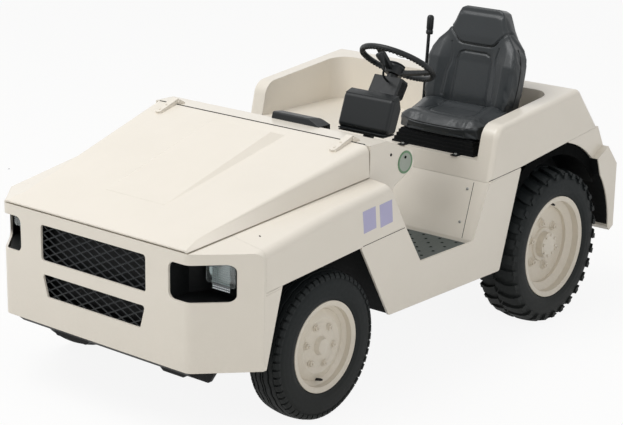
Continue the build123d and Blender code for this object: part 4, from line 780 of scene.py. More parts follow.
# --------------------------------------------------------------------------------- studio
@dataclass
class Studio:
    """Plain pale floor, soft light and the camera."""

    location: Point = (6.10313, 5.02169, 2.86872)
    right: Point = (-0.646866, 0.762463, 0.014662)
    up: Point = (-0.202905, -0.190612, 0.960467)
    lens_mm: float = 102.324
    shift: Flat = (0.01118, -0.00542)
    floor_size_m: float = 60.0

    def camera(self) -> None:
        """Sets the camera up."""
        data = bpy.data.cameras.new("camera")
        data.lens = self.lens_mm
        data.sensor_width = 36.0
        data.shift_x, data.shift_y = self.shift
        data.clip_end = 200.0
        camera = bpy.data.objects.new("camera", data)
        bpy.context.scene.collection.objects.link(camera)
        right, up = Vector(self.right).normalized(), Vector(self.up).normalized()
        back = right.cross(up)
        axes = Matrix((right, up, back)).transposed().to_4x4()
        camera.matrix_world = Matrix.Translation(self.location) @ axes
        bpy.context.scene.camera = camera

    def seen_directly(self, tree: bpy.types.NodeTree) -> bpy.types.NodeSocket:
        """Adds the mask of rays that come from the camera, a gloss or a glass."""
        ray = add_node(tree, "ShaderNodeLightPath")
        either = add_node(
            tree, "ShaderNodeMath",
            {0: ray.outputs["Is Camera Ray"], 1: ray.outputs["Is Glossy Ray"]}, operation="MAXIMUM",
        )
        return add_node(
            tree, "ShaderNodeMath",
            {0: either.outputs[0], 1: ray.outputs["Is Transmission Ray"]}, operation="MAXIMUM",
        ).outputs[0]

    def floor(self) -> None:
        """Lays the pale floor, nearly white where it is seen and still shaded by the tug."""
        bpy.ops.object.select_all(action="DESELECT")
        bpy.ops.mesh.primitive_plane_add(size=self.floor_size_m, location=(0, 0, -0.0005))
        floor = bpy.context.object
        floor.name = "studio_floor"
        material = bpy.data.materials.new("studio_paper")
        material.use_nodes = True
        tree = material.node_tree
        tree.nodes.clear()
        paper = add_node(
            tree, "ShaderNodeBsdfDiffuse", {"Color": linear("#F2F1EE"), "Roughness": 0.6}
        )
        glow = add_node(tree, "ShaderNodeEmission", {"Color": (1, 1, 1, 1), "Strength": 1.0})
        share = add_node(
            tree, "ShaderNodeMath", {0: self.seen_directly(tree), 1: 0.9}, operation="MULTIPLY"
        )
        mixed = add_node(
            tree, "ShaderNodeMixShader",
            {0: share.outputs[0], 1: paper.outputs[0], 2: glow.outputs[0]},
        )
        add_node(tree, "ShaderNodeOutputMaterial", {"Surface": mixed.outputs[0]})
        floor.data.materials.append(material)

    def light(self) -> None:
        """Sets a soft overhead key to the front right, a weak fill and an even surround."""
        world = bpy.data.worlds.new("studio_surround")
        bpy.context.scene.world = world
        world.use_nodes = True
        tree = world.node_tree
        tree.nodes.clear()
        even = add_node(tree, "ShaderNodeBackground", {"Color": (1, 1, 1, 1), "Strength": 0.42})
        white = add_node(tree, "ShaderNodeBackground", {"Color": (1, 1, 1, 1), "Strength": 1.0})
        mixed = add_node(
            tree, "ShaderNodeMixShader",
            {0: self.seen_directly(tree), 1: even.outputs[0], 2: white.outputs[0]},
        )
        add_node(tree, "ShaderNodeOutputWorld", {"Surface": mixed.outputs[0]})
        # columns: name, place in metres, power in watts, size in metres
        for name, place, power, size in (
            ("key_softbox", (3.9, -2.0, 7.8), 438.0, 5.0),
            ("fill_softbox", (1.5, 8.0, 4.0), 84.0, 4.0),
        ):
            data = bpy.data.lights.new(name, "AREA")
            data.energy = power
            data.shape = "SQUARE"
            data.size = size
            lamp = bpy.data.objects.new(name, data)
            bpy.context.scene.collection.objects.link(lamp)
            lamp.location = place
            aim = Vector((0, 0, 0.6)) - Vector(place)
            lamp.rotation_euler = aim.to_track_quat("-Z", "Y").to_euler()

    def build(self) -> None:
        """Sets the whole studio up."""
        self.camera()
        self.floor()
        self.light()
        bpy.context.scene.view_settings.view_transform = "Standard"


# ---------------------------------------------------------------------------------- tyres
@dataclass
class Tyre:
    """One size of tyre: a turned carcass with its tread pattern, in millimetres."""

    end: End
    axle_x: float
    wheel_y: float
    radius: float
    half_width: float
    lip: float
    bead: float
    half_rim: float
    tread_depth: float
    steps: int

    def crown(self, y: float) -> float:
        """Gives the radius of the tread's face this far from the middle."""
        reach = self.half_width * 0.86
        drop = self.half_width * 0.12
        round_radius = (reach * reach + drop * drop) / (2 * drop)
        return self.radius - (round_radius - math.sqrt(round_radius**2 - y * y))

    def sidewall(self) -> list[Flat]:
        """Gives the outer sidewall from the rim's lip to the shoulder, with two raised rings."""
        waist = self.bead + (self.radius - self.bead) * 0.55
        shoulder = (self.half_width * 0.86, self.radius - self.half_width * 0.12 - self.tread_depth)
        wall = arc((self.half_rim, self.lip + 4), (self.half_width - 1.5, waist), shoulder, 15)
        for ring in (3, 10):
            wall[ring] = (wall[ring][0] + 1.5, wall[ring][1])
        return wall

    def carcass(self) -> Workpiece:
        """Turns the carcass, with its grooves between the ribs where it has ribs.

        Returns:
            The carcass about the y axis at the origin.
        """
        gap = 0.6
        edge = self.half_rim - 7.5 - gap
        wall = self.sidewall()
        tread = self.tread_line()
        profile = [
            (-edge, self.lip + gap), (-edge, self.bead + gap), (edge, self.bead + gap),
            (edge, self.lip + gap), *wall, *tread, *[(-y, r) for y, r in reversed(wall)],
        ]
        return Workpiece.turned(f"tyre_skin_{self.end.value}", profile, self.steps, closed=True)

    def tread_line(self) -> list[Flat]:
        """Gives the carcass's line across the tread, from the outer shoulder to the inner one."""
        if self.end is End.REAR:
            across = [self.half_width * s for s in (0.7, 0.5, 0.25, 0.0, -0.25, -0.5, -0.7)]
            return [(y, self.crown(y) - self.tread_depth) for y in across]
        line: list[Flat] = []
        # columns: rib's outer edge, rib's inner edge
        ribs = ((54.0, 38.0), (29.0, 10.0), (2.5, -2.5), (-10.0, -29.0), (-38.0, -54.0))
        for outer, inner in ribs:
            floor = self.tread_depth
            line += [(outer + 1, self.crown(outer) - floor), (outer, self.crown(outer))]
            line += [(inner, self.crown(inner)), (inner - 1, self.crown(inner) - floor)]
        return line

    def zigzag(self, tyre: Workpiece) -> None:
        """Moves every other step of the grooves' sides, so that the ribs run in a zigzag."""
        tyre.open()
        step = FULL_TURN / self.steps
        top = self.radius - self.tread_depth - 14

        def odd(p: Vector) -> bool:
            turn = math.atan2(p.x, p.z) / step
            high = math.hypot(p.x, p.z) > top * MM
            return high and abs(p.y) < 55 * MM and round(turn / 2) % 2 == 0

        tyre.grab_points(odd)
        tyre.move((0, 3.5, 0))

    def shoulder_blocks(self) -> Workpiece:
        """Models one ribbed shoulder block and copies it round both shoulders.

        Returns:
            The ring of blocks about the y axis at the origin.
        """
        count, width = 56, 25.0
        inner, outer = 58.0, self.half_width - 3.5
        base = self.radius - 30
        block = Workpiece.block(
            "blocks", (-width / 2, inner, base), (width / 2, outer, self.radius)
        )
        block.cut((0, 70, 0), (0, 1, 0))
        for y, drop in (
            (inner, self.radius - self.crown(inner)), (70.0, self.radius - self.crown(70)),
            (outer, 21.0),
        ):
            block.grab_points(lambda p: abs(p.y - y * MM) < MM and p.z > (base + 5) * MM)
            block.move((0, 0, -drop))
        block.around(count, (0, 1, 0))
        inside = block.copy("blocks_inner")
        inside.mirror()
        block.join([inside])
        return block

    def lugs(self) -> Workpiece:
        """Models one curved lug and copies it round both halves of the tread.

        Returns:
            The lugs about the y axis at the origin.
        """
        count, width = 30, 46.0
        base = self.radius - self.tread_depth - 16
        outer = self.half_width - 3.0
        lug = Workpiece.block("lugs", (-width / 2, 4.0, base), (width / 2, outer, self.radius))
        stations = (18.0, 36.0, 54.0, 70.0, 84.0)
        for y in stations:
            lug.cut((0, y, 0), (0, 1, 0))
        for y in (4.0, *stations, outer):
            sweep = 26.0 * math.sin((y - 4) / (outer - 4) * math.pi * 0.62)
            drop = self.radius - self.crown(min(y, 88.0)) + (12.0 if y == outer else 0.0)
            lug.grab_points(lambda p: abs(p.y - y * MM) < MM)
            lug.move((sweep, 0, 0))
            lug.grab_points(lambda p: abs(p.y - y * MM) < MM and p.z > (base + 5) * MM)
            lug.resize((0.82 if y < 60 else 0.92, 1, 1), (sweep, 0, 0))
            lug.move((0, 0, -drop))
        # a stepped foot runs down the sidewall behind each lug
        foot = Workpiece.block(
            "lug_foot", (2.0, 84.0, base - 14), (26.0, outer + 1.5, self.radius - 17)
        )
        foot.grab_points(lambda p: p.z < (base - 5) * MM)
        foot.move((6.0, 4.0, 0))
        foot.close()
        lug.join([foot])
        lug.open()
        lug.around(count, (0, 1, 0))
        inside = lug.copy("lugs_inner")
        inside.mirror()
        inside.place(Matrix.Rotation(FULL_TURN / count / 2, 4, "Y"))
        lug.join([inside])
        return lug

    def build(self) -> None:
        """Makes the tyre once and fits one to each side."""
        tyre = self.carcass()
        if self.end is End.FRONT:
            self.zigzag(tyre)
            tyre.join([self.shoulder_blocks()])
        else:
            tyre.join([self.lugs()])
        for side in Side:
            name = f"{self.end.value}_{side.label}"
            skin = tyre.copy(f"tyre_skin_{name}")
            skin.for_side(side)
            skin.place(Matrix.Translation(mm(self.axle_x, side.value * self.wheel_y, self.radius)))
            piece = skin.deliver(f"wheel_{name}", "tyre_rubber", TYRE_RUBBER, 28.0)
            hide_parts(f"tyre_{name}")
        bpy.data.objects.remove(tyre.body)


@dataclass
class WheelFittings:
    """Nuts, studs, hub details and valve of one wheel size, in mm from the tyre's middle."""

    end: End
    axle_x: float
    wheel_y: float
    radius: float
    nut_circle: float
    nut_face: float
    nut_size: float
    first_nut_deg: float
    valve_reach: float
    valve_face: float
    valve_deg: float
    nut_count: int = 6

    def nut(self) -> Workpiece:
        """Models a hexagon wheel nut with its washer and stud end, standing on the origin.

        Returns:
            The nut, up along z.
        """
        size = self.nut_size
        nut = Workpiece.rod("nut", size + 4, 3.0, 24)
        nut.grab_top()
        nut.inset(3.0)
        flats = Workpiece.head("nut_flats", size, 14.0, 6, 1.6)
        stud = Workpiece.head("nut_stud", size * 0.42, 21.0, 16, 1.4, 1)
        nut.join([flats, stud])
        return nut

    def boss(self) -> Workpiece:
        """Models a raised disc boss under a rear nut."""
        boss = Workpiece.rod("boss", 24.0, 9.0, 28)
        boss.grab_top()
        boss.resize((0.72, 0.72, 1), (0, 0, 9))
        boss.bevel(1.5, 2)
        boss.close()
        return boss

    def ring(
        self, radius: float, face: float, side: Side, count: int, start: float
    ) -> list[Matrix]:
        """Gives places round the wheel's axis that face outboard.

        Args:
            radius: the circle's radius.
            face: how far outboard of the tyre's middle.
            side: which side of the vehicle.
            count: how many places.
            start: the first one's turn, in radians.

        Returns:
            A placing for each.
        """
        places = []
        for i in range(count):
            turn = start + FULL_TURN * i / count
            point = (
                self.axle_x + radius * math.cos(turn),
                side.value * (self.wheel_y + face),
                self.radius + radius * math.sin(turn),
            )
            places.append(facing(point, (0, side.value, 0), turn))
        return places

    def build(self) -> None:
        """Fits nuts, hub bolts and a valve to both wheels of this size."""
        start = math.radians(self.first_nut_deg)
        for side in Side:
            name = f"{self.end.value}_{side.label}"
            body = f"wheel_{name}"
            nuts = self.nut()
            nuts.body.name = f"wheel_nuts_{name}"
            nuts.copies(self.ring(self.nut_circle, self.nut_face, side, self.nut_count, start))
            nuts.deliver(body, "wheel_paint", WHEEL_ENAMEL)
            if self.end is End.REAR:
                bosses = self.boss()
                bosses.body.name = f"wheel_bosses_{name}"
                bosses.copies(
                    self.ring(self.nut_circle, self.nut_face - 8, side, self.nut_count, start)
                )
                bosses.deliver(body, "wheel_paint", WHEEL_ENAMEL)
                bolts = Workpiece.head(f"hub_bolts_{name}", 7.5, 7.0, 6, 1.2)
                bolts.copies(self.ring(50.0, 64.0, side, 8, 0.2))
                bolts.deliver(body, "wheel_paint", WHEEL_ENAMEL)
            valve = Workpiece.rod(f"valve_{name}", 6.0, 30.0, 16)
            valve.grab_top()
            valve.inset(1.5)
            valve.extrude((0, 0, 9))
            turn = math.radians(self.valve_deg)
            point = (
                self.axle_x + self.valve_reach * math.cos(turn),
                side.value * (self.wheel_y + self.valve_face - 26),
                self.radius + self.valve_reach * math.sin(turn),
            )
            valve.place(facing(point, (0.2 * math.cos(turn), side.value, -0.2 * math.sin(turn))))
            valve.deliver(body, "tyre_rubber", BLACK_ABS)


# ----------------------------------------------------------------------------------- seat
@dataclass
class Seat:
    """The driver's seat: two vinyl pads swelled as cloth, with their piping, in millimetres."""

    driver_y: float = 370.0
    seat_x: float = -518.0
    deck_z: float = 875.0
    lean_deg: float = 13.0
    voxel_mm: float = 6.0

    def back_place(self) -> Matrix:
        """Gives the backrest's placing: x across to the left, y up the back, z forward."""
        lean = math.radians(self.lean_deg)
        axes = Matrix(
            ((0, -math.sin(lean), math.cos(lean)), (1, 0, 0), (0, math.cos(lean), math.sin(lean)))
        ).to_4x4()
        return Matrix.Translation(mm(self.seat_x - 150, self.driver_y, self.deck_z + 140)) @ axes

    def swell(self, pad: Workpiece, cap: float, pinned: Callable[[Vector], bool]) -> None:
        """Swells a pad as cloth under air pressure and keeps the result.

        Args:
            pad: the closed pad, already remeshed.
            cap: the furthest that a point may move, in millimetres.
            pinned: a rule that names the points that stay.
        """
        pad.close()
        body = pad.body
        still = [v.co.copy() for v in body.data.vertices]
        pins = body.vertex_groups.new(name="pins")
        pins.add([i for i, p in enumerate(still) if pinned(p)], 1.0, "REPLACE")
        cloth = body.modifiers.new("Cloth", "CLOTH")
        cloth.settings.vertex_group_mass = "pins"
        cloth.settings.use_pressure = True
        cloth.settings.uniform_pressure_force = 4.0
        cloth.settings.effector_weights.gravity = 0.0
        cloth.settings.tension_stiffness = 12.0
        cloth.settings.compression_stiffness = 12.0
        for number in range(1, 21):
            bpy.context.scene.frame_set(number)
        bpy.ops.object.modifier_apply(modifier=cloth.name)
        bpy.context.scene.frame_set(1)
        for vertex, rest in zip(body.data.vertices, still):
            step = vertex.co - rest
            if step.length > cap * MM:
                vertex.co = rest + step.normalized() * cap * MM

    def shape(self, pad: Workpiece, rule: Callable[[Vector], Vector]) -> None:
        """Moves each point of a pad as the rule says, as a sculptor would."""
        pad.close()
        for vertex in pad.body.data.vertices:
            vertex.co = vertex.co + rule(vertex.co)

    def press(
        self, pad: Workpiece, line: Sequence[Flat], width: float, depth: float,
        flat: Callable[[Vector], tuple[float, float, bool]],
    ) -> None:
        """Presses a groove into the pad's face along a line.

        Args:
            pad: the pad.
            line: the groove's points, in the face's own millimetres.
            width: half the groove's width.
            depth: how deep it goes.
            flat: gives a point's place on the face and whether it is on the face.
        """
        pad.close()
        for vertex in pad.body.data.vertices:
            u, v, on_face = flat(vertex.co)
            if not on_face:
                continue
            gap = min(self.gap((u, v), a, b) for a, b in zip(line, line[1:]))
            if gap < width:
                vertex.co = vertex.co - vertex.normal * depth * MM * (1 - (gap / width) ** 2) ** 2

    @staticmethod
    def gap(point: Flat, a: Flat, b: Flat) -> float:
        """Gives the distance from a point to a run of a line."""
        run = (b[0] - a[0], b[1] - a[1])
        along = (point[0] - a[0]) * run[0] + (point[1] - a[1]) * run[1]
        share = min(max(along / (run[0] ** 2 + run[1] ** 2), 0.0), 1.0)
        return math.hypot(point[0] - a[0] - share * run[0], point[1] - a[1] - share * run[1])

    def piping(
        self, name: str, pad: Workpiece, starts: Sequence[Point], aim: Point, radius: float
    ) -> Workpiece:
        """Lays a piping cord on a pad along a line of points dropped on its face.

        Args:
            name: the piece's name.
            pad: the pad that it lies on.
            starts: points in front of the face, in the pad's own millimetres.
            aim: the direction in which they drop.
            radius: the cord's radius.

        Returns:
            The piping as a mesh.
        """
        pad.close()
        down = Vector(aim).normalized()
        found = []
        for start in starts:
            hit, place, _normal, _face = pad.body.ray_cast(mm(*start), down)
            if hit:
                found.append(place - down * radius * MM * 0.2)
        return Workpiece.tube(name, [tuple(place / MM) for place in found], radius, 16)

    def pad(self, name: str, outline: Sequence[Point], depth: Point) -> Workpiece:
        """Fills an outline, extrudes it and remeshes it into a closed pad."""
        pad = Workpiece.line(name, outline, closed=True)
        bpy.ops.mesh.edge_face_add()
        pad.grab()
        pad.extrude(depth)
        pad.grab()
        bpy.ops.mesh.normals_make_consistent(inside=False)
        size = self.voxel_mm
        pad.modify("REMESH", mode="VOXEL", voxel_size=size * MM)
        return pad

    def backrest(self) -> None:
        """Makes the backrest pad: bolsters, dished middle, head seam, panel and boxing cords."""
        half = [
            (226, -2), (242, 40), (250, 120), (250, 200), (244, 256), (222, 300), (180, 346),
            (156, 382), (132, 430), (116, 458), (92, 468),
        ]
        outline = [(u, v, 4) for u, v in half] + [(-u, v, 4) for u, v in reversed(half)]
        pad = self.pad("seat_back_pad", outline, (0, 0, 84))

        def form(p: Vector) -> Vector:
            u, v, w = (c / MM for c in p)
            front = min(max((w - 20) / 60, 0), 1)
            bolster = min(max((abs(u) - 84) / 96, 0), 1) ** 1.6
            waist = min(max((330 - v) / 120, 0), 1)
            out = front * (waist * (16 * bolster - 22 * (1 - bolster)) - (1 - waist) * 10)
            return mm(0, 0, out)

        self.shape(pad, form)
        self.swell(pad, 6.0, lambda p: p.z < 14 * MM or p.y > 440 * MM)
        pad.modify("SUBSURF", levels=1, render_levels=1)

        def face(p: Vector) -> tuple[float, float, bool]:
            return p.x / MM, p.y / MM, p.z > 44 * MM

        half_panel = [(-98, 10), (-94, 215), (-84, 246), (-62, 256)]
        panel = half_panel + [(-u, v) for u, v in reversed(half_panel)]
        self.press(pad, panel, 8.0, 4.5, face)
        line = [(-142, 40), (-136, 150), (-124, 196), (-122, 240), (-134, 290)]
        self.press(pad, line, 7.0, 3.5, face)
        self.press(pad, [(-u, v) for u, v in line], 7.0, 3.5, face)
        half_seam = [(-232, 352), (-204, 382), (-166, 372), (-128, 330), (-98, 298), (-78, 293)]
        seam = [*half_seam, (0, 292), *[(-u, v) for u, v in reversed(half_seam)]]
        self.press(pad, seam, 8.0, 5.0, face)
        drops = [(u, v, 200) for u, v in seam[1:-1]]
        cord = self.piping("seat_back_piping", pad, drops, (0, 0, -1), 2.6)
        place = self.back_place()
        pieces = [pad, cord]
        for side in Side:
            edge = [
                (side.value * 400, v, 52 + 6 * math.sin((v - 20) / 300 * math.pi))
                for v in range(30, 330, 30)
            ]
            pieces.append(
                self.piping(f"seat_boxing_{side.label}", pad, edge, (-side.value, 0, 0), 2.4)
            )
        for piece in pieces:
            piece.place(place)
        cover = pad.deliver("chassis", "seat_vinyl", SEAT_VINYL, 60.0)
        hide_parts("seat_backrest")
        for piece in pieces[1:]:
            piece.deliver("chassis", "seat_vinyl", SEAM_PIPING, 60.0)

    def cushion(self) -> None:
        """Makes the seat cushion: side horns, dished middle, rolled front and the cord under it."""
        x, y, z = self.seat_x, self.driver_y, self.deck_z + 66
        half = [(-160, 214), (-60, 238), (90, 240), (150, 222), (176, 160), (183, 60)]
        outline = [(x + a, y - b, z + 3) for a, b in half]
        outline += [(x + a, y + b, z + 3) for a, b in reversed(half)]
        tall = 60.0
        pad = self.pad("seat_pad", outline, (0, 0, tall))

        def ramp(value: float, start: float, end: float) -> float:
            share = min(max((value - start) / (end - start), 0.0), 1.0)
            return share * share * (3 - 2 * share)

        def form(p: Vector) -> Vector:
            lx, ly, lz = p.x / MM - x, abs(p.y / MM - y), p.z / MM - z
            share = min(max((lz - 3) / tall, 0), 1)
            rear = ramp(-lx, -90, 76)
            wing = ramp(ly, 104, 176)
            edge = ramp(ly, 170, 236)
            height = 78 + 22 * rear + wing * (4 + 10 * rear) - edge * (16 - 8 * rear)
            height -= 14 * (1 - wing) * ramp(lx, 110, -40) * ramp(lx, -74, -20)
            height -= 36 * ramp(lx, 118, 184)
            if lx < -84:
                height = min(height, 100 - 46 * ramp(-lx, 84, 100))
            tuck = -14 * (1 - share) * ramp(lx, 60, 170)
            return mm(tuck, 0, share * (height - 3 - tall))

        self.shape(pad, form)
        self.swell(pad, 7.0, lambda p: p.z < (z + 7) * MM)
        pad.modify("SUBSURF", levels=1, render_levels=1)

        def face(p: Vector) -> tuple[float, float, bool]:
            return p.x / MM - x, p.y / MM - y, p.z > (z + 40) * MM

        half_panel = [(-80, -108), (40, -120), (74, -102), (86, -60)]
        panel = half_panel + [(a, -b) for a, b in reversed(half_panel)]
        self.press(pad, panel, 8.0, 4.0, face)
        for sign in (-1, 1):
            bolster = [(100, sign * 190), (60, sign * 140), (-20, sign * 122)]
            self.press(pad, bolster, 7.0, 3.0, face)
        skirt = [(x + 300.0, y + ly, z + 46.0 + 9 * (ly / 200) ** 4) for ly in range(-220, 221, 40)]
        cord = self.piping("seat_pad_piping", pad, skirt, (-1, 0, 0), 2.8)
        cover = pad.deliver("chassis", "seat_vinyl", SEAT_VINYL, 60.0)
        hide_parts("seat_cushion")
        cord.deliver("chassis", "seat_vinyl", SEAM_PIPING, 60.0)

    def build(self) -> None:
        """Makes both pads."""
        self.backrest()
        self.cushion()


# ------------------------------------------------------------------------------- fittings
@dataclass
class Lamps:
    """Reflectors and prism sheets in mirror aluminium in the headlamp boxes, in millimetres."""

    lamp_y: float = 567.0
    lamp_z: float = 713.0
    glass_x: float = 1303.0
    width: float = 155.0
    height: float = 102.0

    def build(self) -> None:
        """Fits a reflector and a prism sheet behind each lens."""
        for side in Side:
            y = side.value * self.lamp_y
            bowl = Workpiece.turned(
                "bowl", [(-34.0, 8.0), (-30.0, 24.0), (-20.0, 38.0), (-6.0, 48.0)], 48
            )
            bowl.close()
            bowl.body.name = f"lamp_reflector_{side.label}"
            bowl.modify("SOLIDIFY", thickness=1.2 * MM, offset=1.0)
            turn = Matrix.Rotation(-math.pi / 2, 4, "Z") @ Matrix.Diagonal((1.45, 1.0, 1.0, 1.0))
            bowl.place(Matrix.Translation(mm(self.glass_x - 2, y, self.lamp_z)) @ turn)
            bowl.deliver("chassis", "lamp_lens", REFLECTOR, 60.0)
            columns, rows = 16, 10
            sheet = Workpiece(
                f"lamp_prisms_{side.label}", bpy.ops.mesh.primitive_grid_add,
                x_subdivisions=2 * columns, y_subdivisions=2 * rows, size=1.0,
            )
            sheet.grab()
            sheet.resize(((self.width - 8) * MM, (self.height - 8) * MM, 1), (0, 0, 0))
            pitch_x = (self.width - 8) / (2 * columns)
            pitch_y = (self.height - 8) / (2 * rows)
            sheet.grab_points(
                lambda p: round((p.x / MM + self.width / 2 - 4) / pitch_x) % 2 == 1
                and round((p.y / MM + self.height / 2 - 4) / pitch_y) % 2 == 1
            )
            sheet.move((0, 0, -3.0))
            sheet.place(facing((self.glass_x - 0.5, y, self.lamp_z), (1, 0, 0), math.pi / 2))
            sheet.deliver("chassis", "lamp_lens", REFLECTOR, 5.0)


@dataclass
class FloorCollars:
    """Pressed anti-slip holes in the floor plate, in millimetres."""

    top_z: float = 528.0
    first_x: float = -140.0
    last_x: float = 250.0
    row: float = 43.0
    pitch: float = 90.0
    reach_y: float = 690.0

    def build(self) -> None:
        """Models one collar and its hole, whose near black is painted shade, and sets them out in
        staggered rows.
        """
        places = []
        count = int((self.last_x - self.first_x) / self.row) + 1
        for i in range(count):
            start = -self.reach_y + (self.pitch / 2 if i % 2 else 0.0)
            across = int((self.reach_y - start) / self.pitch) + 1
            for j in range(across):
                point = (self.first_x + i * self.row, start + j * self.pitch, self.top_z)
                places.append(facing(point, (0, 0, 1)))
        collar = Workpiece.rod("floor_collars", 10.0, 0.6, 12)
        collar.grab_top()
        collar.inset(1.6, 0.9)
        collar.inset(1.4, -1.0)
        collar.copies(places)
        collar.deliver("chassis", "floor_grey", FLOOR_ENAMEL)
        # each hole is a near-black disc of painted shade
        hole_shade = Workpiece.rod("floor_holes", 6.6, 0.9, 12)
        hole_shade.grab_top()
        hole_shade.inset(0.6, -0.2)
        hole_shade.copies(places)
        hole_shade.deliver("chassis", "floor_grey", PAINTED_SHADE_BLACK)


@dataclass
class Markings:
    """Plain stripes on the wing, the round disc and the plugged holes, in millimetres."""

    disc: Point = (217.0, 628.0, 963.0)

    def stripe(self, name: str, corners: Sequence[Flat], side: Side) -> None:
        """Cuts one stripe of film and lays it on the wing's side."""
        y = side.value * (SIDE_Y + 0.4)
        film = Workpiece.line(name, [(x, y, z) for x, z in corners], closed=True)
        bpy.ops.mesh.edge_face_add()
        film.grab()
        film.extrude((0, -side.value * 1.2, 0))
        film.grab()
        bpy.ops.mesh.normals_make_consistent(inside=False)
        film.deliver("chassis", "body_paint", LAVENDER_FILM)

    def build(self) -> None:
        """Lays the stripes, the disc and the plugs."""
        for side in Side:
            name = side.label
            for i, (front, rear) in enumerate(((636.0, 548.0), (525.0, 437.0))):
                corners = [
                    (front - 12, 754 + 2 * i), (rear - 6, 763 + 2 * i), (rear + 4, 858 + 6 * i),
                    (front, 850 + 6 * i),
                ]
                self.stripe(f"wing_stripe_{name}_{i}", corners, side)
            x, y, z = self.disc
            plate = Workpiece.rod(f"cowl_disc_{name}", 50.0, 2.0, 64)
            plate.grab_top()
            plate.inset(9.0)
            plate.inset(1.0, -0.5)
            plate.place(facing((x, side.value * y, z), (0, side.value, 0)))
            plate.deliver("chassis", "body_paint", DISC_GREY)
            band = [(2.0, 40.5), (2.6, 41.5), (2.6, 49.0), (1.8, 50.2), (0.2, 50.2)]
            ring = Workpiece.turned(f"cowl_disc_ring_{name}", band, 64)
            ring.modify("SOLIDIFY", thickness=0.5 * MM, offset=-1.0)
            half_turn = Matrix.Rotation(0 if side is Side.LEFT else math.pi, 4, "Z")
            ring.place(Matrix.Translation(mm(x, side.value * y, z)) @ half_turn)
            ring.deliver("chassis", "body_paint", RING_GREEN, 40.0)
            # the plugs take the painted shade black
            plugs = Workpiece.rod(f"cowl_plugs_{name}", 6.5, 1.2, 20)
            plugs.grab_top()
            plugs.inset(1.2, -0.6)
            plugs.copies([
                facing((x, side.value * y + side.value * 1.6, z + 22), (0, side.value, 0)),
                facing((x + 100, side.value * y, z + 50), (0, side.value, 0)),
            ])
            plugs.deliver("chassis", "body_paint", PAINTED_SHADE_BLACK)


@dataclass
class SeatMount:
    """The rubber bellows and the bolted feet under the seat, in millimetres."""

    low: Point = (-726.0, 138.0, 875.4)
    high: Point = (-332.0, 602.0, 940.0)
    folds: int = 4
    fold_inset: float = 7.0
    middle_y: float = 370.0
    foot_reach: float = 150.0
    foot_half: float = 17.0

    def build(self) -> None:
        """Stacks the bellows' folds and bolts down a foot on each side."""
        step = (self.high[2] - self.low[2]) / self.folds
        first_top = self.low[2] + step * 0.55
        bellows = Workpiece.block("seat_bellows", self.low, (*self.high[:2], first_top))
        for i in range(self.folds):
            bellows.grab(lambda c, n: n.z > 0.9 and c.z > (self.low[2] + step * (i + 0.5)) * MM)
            bellows.inset(self.fold_inset)
            bellows.extrude((0, 0, step * 0.45))
            if i < self.folds - 1:
                bellows.inset(-self.fold_inset)
                bellows.extrude((0, 0, step * 0.55))
        piece = bellows.deliver("chassis", "black_plastic", HOLLOW_RUBBER, 40.0)
        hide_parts("seat_base")
        for side in Side:
            y = self.middle_y + side.value * self.foot_reach
            foot = Workpiece.block(
                f"seat_foot_{side.label}", (-330.0, y - self.foot_half, 875.2),
                (-290.0, y + self.foot_half, 880.0),
            )
            foot.grab_top()
            foot.bevel(1.5, 2)
            foot.deliver("chassis", "frame_black", CHASSIS_BLACK)
            bolt = Workpiece.head(f"seat_bolt_{side.label}", 8.0, 6.0, 6, 1.4)
            bolt.place(Matrix.Translation(mm(-308.0, y, 880.0)))
            bolt.deliver("chassis", "steel", BRIGHT_STEEL)


@dataclass
class ShiftLever:
    """The direction lever on the steering column, in millimetres."""

    knob: Point = (131.0, 408.0, 1392.0)
    neck: Point = (126.0, 432.0, 1342.0)
    line: tuple[Point, ...] = (
        (112.0, 420.0, 1318.0), (84.0, 394.0, 1290.0), (46.0, 376.0, 1264.0), (14.0, 366.0, 1246.0),
    )

    def build(self) -> None:
        """Turns the knob and bends the stalk from it down to the shroud."""
        axis = Vector(self.knob) - Vector(self.neck)
        knob = Workpiece.turned(
            "shift_lever_knob",
            [(0.0, 0.1), (0.0, 6.0), (8.0, 7.5), (18.0, 9.5), (22.0, 11.5), (24.0, 11.0),
             (28.0, 13.5), (44.0, 18.0), (52.0, 19.0), (57.0, 17.0), (60.0, 12.0), (61.0, 0.1)], 28,
        )
        knob.place(facing_turned(self.neck, tuple(axis)))
        stalk = Workpiece.tube("shift_lever_stalk", [self.neck, *self.line], 5.0, 16)
        knob.close()
        stalk.join([knob])
        piece = stalk.deliver("chassis", "black_plastic", BLACK_ABS, 50.0)
        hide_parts("shift_lever")


@dataclass
class ParkingKnob:
    """The grip on top of the parking lever, in millimetres."""

    foot: Point = (-666.0, 90.0, 1330.0)
    rod: Point = (-40.0, 0.0, 520.0)

    def build(self) -> None:
        """Turns the grip over the lever's end, with its release ring."""
        grip = Workpiece.turned(
            "parking_knob",
            [(0.0, 0.1), (0.0, 14.6), (4.0, 16.8), (16.0, 17.2), (18.0, 15.2), (24.0, 15.2),
             (27.0, 16.8), (78.0, 16.8), (86.0, 14.5), (91.0, 9.0), (92.5, 0.1)], 28,
        )
        grip.place(facing_turned(self.foot, self.rod))
        grip.deliver("chassis", "black_plastic", BLACK_ABS, 50.0)


